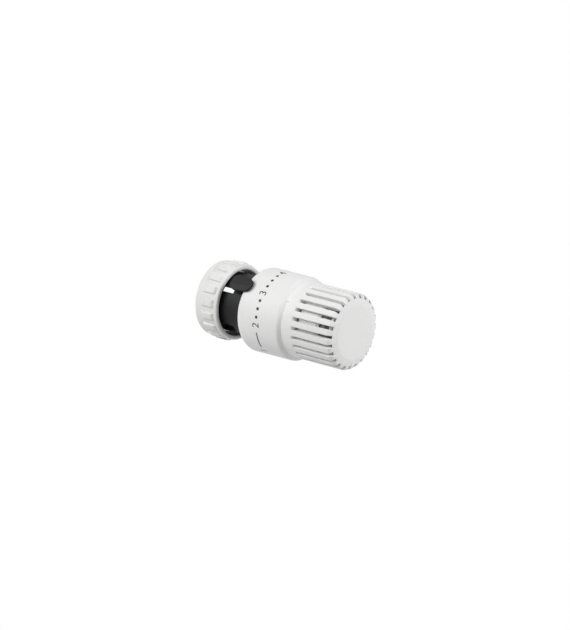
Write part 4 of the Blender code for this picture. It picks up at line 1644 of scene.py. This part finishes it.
@dataclass
class LiquidSensor:
    """Liquid sensor: can with its rear ring and bellows, filling stub and the spacer before it."""

    can_rear: float = 0.0654
    can_front: float = 0.08
    can_radius: float = 0.0146
    can_bore: float = 0.0138
    can_round: float = 0.001
    can_wall: float = 0.0008
    seal: Band = Band(0.0657, 0.0674, 0.0096, 0.0135, 0.0002)
    edge: float = 0.0002
    bellows_rear: float = 0.0677
    bellows_front: float = 0.0775
    bellows_crest: float = 0.0122
    bellows_root: float = 0.01
    bellows_wall: float = 0.0004
    bellows_folds: int = 5
    bellows_fillet: float = 0.0003
    stub_rear: float = 0.0803
    stub_flange: float = 0.0008
    stub_flange_radius: float = 0.0024
    stub_front: float = 0.0833
    stub_radius: float = 0.0013
    spacer_ring: Band = Band(0.0803, 0.0865, 0.004, 0.008, 0.0002)
    lug: Band = Band(0.0827, 0.0841, 0.006, 0.0148)
    lug_count: int = 3
    lug_angle: float = 63.0
    lug_width: float = 0.0058
    lug_edge_steps: int = 2
    segments: int = 120

    def build(self) -> None:
        """Builds and dresses the sensor's pieces."""
        fit(self.can(), Body.CARRIER, Finishes.CAN_GREY, "sensor_can")
        seal = Bench.lathe("sensor_seal_ring", self.seal, self.segments)
        fit(seal, Body.CARRIER, Finishes.BRASS, "sensor_rear_ring")
        folds = Flex(Body.PUSHER, self.bellows_rear, self.bellows_front - self.bellows_wall)
        fit(self.bellows(), Body.CARRIER, Finishes.BRASS, "bellows", flex=folds)
        fit(self.stub(), Body.CARRIER, Finishes.BRASS, "fill_plug")
        fit(self.spacer(), Body.CARRIER, Finishes.CARRIER_WHITE, "front_spacer")

    def can(self) -> Piece:
        """Models the can, open at the rear.

        Returns:
            The can.
        """
        inside = self.can_front - self.can_wall
        outline = [
            (self.can_rear, self.can_bore),
            (self.can_rear, self.can_radius, self.edge),
            (self.can_front, self.can_radius, self.can_round),
            (self.can_front, 0.0),
            (inside, 0.0),
            (inside, self.can_bore, self.can_wall),
        ]
        return Bench.lathe("sensor_shell", outline, self.segments)

    def bellows(self) -> Piece:
        """Models the folded wall.

        Returns:
            The bellows, open at the rear and closed at the front.
        """
        wall, fillet = self.bellows_wall, self.bellows_fillet
        fold = (self.bellows_front - self.bellows_rear) / (2 * self.bellows_folds + 1)
        outside = []
        for ridge in range(2 * self.bellows_folds + 2):
            radius = self.bellows_crest if ridge % 2 else self.bellows_root
            outside.append((self.bellows_rear + fold * ridge, radius, fillet if ridge else 0.0))
        end = self.bellows_front - wall
        inside = [(x, radius - wall, fillet) for x, radius, fillet in outside[:-1]]
        inside.append((end, self.bellows_root - wall))
        outline = outside + [(self.bellows_front, 0.0), (end, 0.0)] + inside[::-1]
        return Bench.lathe("sensor_bellows", outline, self.segments)

    def stub(self) -> Piece:
        """Models the sealed filling stub on the can's front.

        Returns:
            The stub.
        """
        flange = self.stub_rear + self.stub_flange
        outline = [
            (self.stub_rear, 0.0),
            (self.stub_rear, self.stub_flange_radius, self.edge),
            (flange, self.stub_flange_radius, self.edge),
            (flange, self.stub_radius),
            (self.stub_front, self.stub_radius, self.edge),
            (self.stub_front, 0.0),
        ]
        return Bench.lathe("fill_stub", outline, self.segments // 3)

    def spacer(self) -> Piece:
        """Models the spacer.

        Returns:
            The spacer, with the lugs round its middle.
        """
        spacer = Bench.lathe("end_spacer", self.spacer_ring, self.segments)
        lug = Bench.blade("spacer_lug", self.lug, self.lug_width)
        steps, root = self.lug_edge_steps, self.spacer_ring.outer
        Bench.bevel(lug, self.edge, steps, lambda edge: max(radii(edge)) > root)
        lugs = Bench.ring(lug, even_angles(self.lug_count, self.lug_angle))
        return Bench.combine(spacer, lugs, Join.ADD)


@dataclass
class PushLine:
    """Push line: cup with its rod, spring and clip, the bellows' plate and the pressure pin."""

    cup_rear: float = 0.0439
    cup_front: float = 0.0621
    cup_radius: float = 0.00795
    cup_bore: float = 0.00675
    cup_lip_bore: float = 0.00595
    cup_lip: float = 0.0008
    cup_floor: float = 0.002
    rod_radius: float = 0.0035
    rod_front: float = 0.0757
    plate_rear: float = 0.076
    plate_front: float = 0.0768
    plate_radius: float = 0.009
    clip: Band = Band(0.045, 0.046, 0.0028, 0.00645, 0.0002)
    head_radius: float = 0.00645
    head_rear: float = 0.0463
    head_front: float = 0.0481
    pin_tip: float = 0.0131
    pin_radius: float = 0.0025
    pin_chamfer: float = 0.0006
    stub_radius: float = 0.00445
    stub_front: float = 0.0516
    spring_rear: float = 0.0484
    spring_length: float = 0.0114
    spring_radius: float = 0.0056
    spring_wire: float = 0.0013
    spring_turns: int = 5
    wire_facets: int = 16
    edge: float = 0.0002
    segments: int = 96

    def build(self) -> None:
        """Builds and dresses the push line's pieces."""
        fit(self.cup(), Body.PUSHER, Finishes.CARRIER_WHITE, "spring_cup")
        fit(self.plate(), Body.PUSHER, Finishes.BRASS, "bellows_plate")
        clip = Bench.lathe("cup_clip", self.clip, self.segments)
        fit(clip, Body.PUSHER, Finishes.STEEL, "pin_clip")
        turns = Flex(Body.PUSHER, self.spring_rear, self.spring_rear + self.spring_length)
        fit(self.spring(), Body.PIN, Finishes.STEEL, "overtravel_spring", flex=turns)
        fit(self.pin(), Body.PIN, Finishes.CARRIER_WHITE, "pressure_pin")

    def cup(self) -> Piece:
        """Models the spring cup.

        Returns:
            The cup, with its rod.
        """
        floor = self.cup_front - self.cup_floor
        lip = self.cup_rear + self.cup_lip
        outline = [
            (self.cup_rear, self.cup_lip_bore, self.edge),
            (self.cup_rear, self.cup_radius, self.edge),
            (self.cup_front, self.cup_radius, self.edge),
            (self.cup_front, self.rod_radius),
            (self.rod_front, self.rod_radius, self.edge),
            (self.rod_front, 0.0),
            (floor, 0.0),
            (floor, self.cup_bore),
            (lip, self.cup_bore),
            (lip, self.cup_lip_bore, self.edge),
        ]
        return Bench.lathe("push_cup", outline, self.segments)

    def plate(self) -> Piece:
        """Models the plate on the bellows' closed end.

        Returns:
            The plate.
        """
        outline = [
            (self.plate_rear, 0.0),
            (self.plate_rear, self.plate_radius, self.edge),
            (self.plate_front, self.plate_radius, self.edge),
            (self.plate_front, 0.0),
        ]
        return Bench.lathe("push_plate", outline, self.segments)

    def pin(self) -> Piece:
        """Models the pressure pin.

        Returns:
            The pin, with its head.
        """
        outline = [
            (self.pin_tip, 0.0),
            (self.pin_tip, self.pin_radius - self.pin_chamfer, self.edge),
            (self.pin_tip + self.pin_chamfer, self.pin_radius, self.edge),
            (self.head_rear, self.pin_radius),
            (self.head_rear, self.head_radius, self.edge),
            (self.head_front, self.head_radius, self.edge),
            (self.head_front, self.stub_radius),
            (self.stub_front, self.stub_radius, self.edge),
            (self.stub_front, 0.0),
        ]
        return Bench.lathe("push_pin", outline, self.segments)

    def spring(self) -> Piece:
        """Models the spring.

        Returns:
            The spring, as round wire wound in an even helix.
        """
        half = self.spring_wire / 2
        centre = self.spring_rear + half
        turns = [math.tau * step / self.wire_facets for step in range(self.wire_facets)]
        section = [
            (centre + half * math.cos(turn), self.spring_radius + half * math.sin(turn))
            for turn in turns
        ]
        pitch = (self.spring_length - self.spring_wire) / self.spring_turns
        steps = self.segments // 2
        return Bench.coil("override_spring", section, pitch, self.spring_turns, steps)


@dataclass(frozen=True)
class Softbox:
    """A soft lamp.

    Attributes:
        name: Name of the lamp.
        place: Where it stands.
        size: Side of its square face.
        power: Watts.
    """

    name: str
    place: tuple[float, float, float]
    size: float
    power: float


@dataclass
class Studio:
    """Plain pale floor, soft light and the camera."""

    camera_place: tuple[float, float, float] = (0.7960, -0.9189, 0.3844)
    camera_aim: tuple[float, float, float] = (0.02717, 0.01989, -0.00871)
    camera_roll: float = 0.55
    lens: float = 95.24
    sensor_height: float = 24.0
    nearest: float = 0.01
    floor_height: float = -0.3
    floor_size: float = 12.0
    floor_colour: tuple[float, float, float] = (0.7, 0.7, 0.7)
    floor_roughness: float = 0.9
    surround: float = 0.12
    lamps: tuple[Softbox, ...] = (
        Softbox("left_softbox", (-0.55, -0.95, 0.82), 0.9, 16.4),
        Softbox("right_softbox", (1.0, 0.4, 0.7), 0.6, 8.4),
        Softbox("front_softbox", (1.1, 0.0, 0.5), 0.6, 2.8),
    )

    def clear(self) -> None:
        """Empties the opening scene."""
        for item in list(bpy.data.objects):
            bpy.data.objects.remove(item, do_unlink=True)

    def build(self) -> None:
        """Sets up the stage, the light, the camera and the view."""
        bpy.context.scene.view_settings.view_transform = "Standard"
        self.floor()
        self.world()
        for lamp in self.lamps:
            self.light(lamp)
        self.camera()

    def white_to_camera(self, tree: Tree, shader: Socket, output: str) -> None:
        """Shows pure white where the camera, or a reflection, looks straight at a backdrop.

        Args:
            tree: Node tree of the backdrop's material or of the world.
            shader: What lights the object.
            output: Name of the tree's output node.
        """
        path = add_node(tree, "ShaderNodeLightPath", {})
        seen = path["Is Camera Ray"]
        for kind in ("Is Glossy Ray", "Is Transmission Ray"):
            either = {0: seen, 1: path[kind]}
            seen = add_node(tree, "ShaderNodeMath", either, operation="MAXIMUM")[0]
        white = add_node(tree, "ShaderNodeEmission", {})[0]
        mix = add_node(tree, "ShaderNodeMixShader", {0: seen, 1: shader, 2: white})
        wire(tree, tree.nodes[output], {"Surface": mix[0]})

    def floor(self) -> None:
        """Lays the floor, well below the head, which its valve would hold up."""
        Bench.take()
        place = (0.0, 0.0, self.floor_height)
        bpy.ops.mesh.primitive_plane_add(size=self.floor_size, location=place)
        floor = bpy.context.object
        floor.name = "studio_floor"
        made = bpy.data.materials.new("pale_floor")
        made.use_nodes = True
        tree = made.node_tree
        shader = tree.nodes["Principled BSDF"]
        paint = {"Base Color": (*self.floor_colour, 1.0), "Roughness": self.floor_roughness}
        wire(tree, shader, paint)
        self.white_to_camera(tree, shader.outputs[0], "Material Output")
        floor.data.materials.append(made)
        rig.stage(floor)

    def world(self) -> None:
        """Lights the head a little from all round."""
        world = bpy.data.worlds.new("soft_surround")
        world.use_nodes = True
        bpy.context.scene.world = world
        tree = world.node_tree
        surround = tree.nodes["Background"]
        wire(tree, surround, {"Color": (1.0, 1.0, 1.0, 1.0), "Strength": self.surround})
        self.white_to_camera(tree, surround.outputs[0], "World Output")

    def look(self, place: Sequence[float]) -> Quaternion:
        """The turn of a lamp or a camera at a place, when it faces the head."""
        return (Vector(self.camera_aim) - Vector(place)).to_track_quat("-Z", "Y")

    def light(self, lamp: Softbox) -> None:
        """Hangs one soft lamp, turned to the head.

        Args:
            lamp: The lamp.
        """
        Bench.take()
        bpy.ops.object.light_add(type="AREA", location=lamp.place)
        light = bpy.context.object
        light.name = lamp.name
        light.data.size = lamp.size
        light.data.energy = lamp.power
        light.rotation_euler = self.look(lamp.place).to_euler()

    def camera(self) -> None:
        """Stands the camera where the photograph was taken from."""
        Bench.take()
        bpy.ops.object.camera_add(location=self.camera_place)
        camera = bpy.context.object
        camera.name = "view_camera"
        roll = Euler((0.0, 0.0, math.radians(self.camera_roll))).to_quaternion()
        camera.rotation_euler = (self.look(self.camera_place) @ roll).to_euler()
        camera.data.sensor_fit = "VERTICAL"
        camera.data.sensor_height = self.sensor_height
        camera.data.lens = self.lens
        camera.data.clip_start = self.nearest
        bpy.context.scene.camera = camera


def write_sizes(before: tuple[Vector, Vector], after: tuple[Vector, Vector]) -> None:
    """Writes the frame's box and the dressed model's box.

    Args:
        before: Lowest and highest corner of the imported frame.
        after: Lowest and highest corner of the dressed model.
    """
    boxes = {"cad": [list(corner) for corner in before], "visual": [list(corner) for corner in after]}
    SIZE_FILE.write_text(json.dumps(boxes))


def main() -> None:
    """Builds the head's looks, sub-assembly by sub-assembly, and the studio round it."""
    logging.basicConfig(level=logging.INFO, format="%(message)s")
    studio = Studio()
    studio.clear()
    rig.load()
    frame_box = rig.bounds()
    studio.build()
    UnionNut().build()
    BaseSocket().build()
    wheel = HandWheel().build()
    DialPrint().build(wheel)
    DriveSleeve().build()
    SensorCarrier().build()
    LiquidSensor().build()
    PushLine().build()
    write_sizes(frame_box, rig.bounds())


if __name__ == "__main__":
    main()
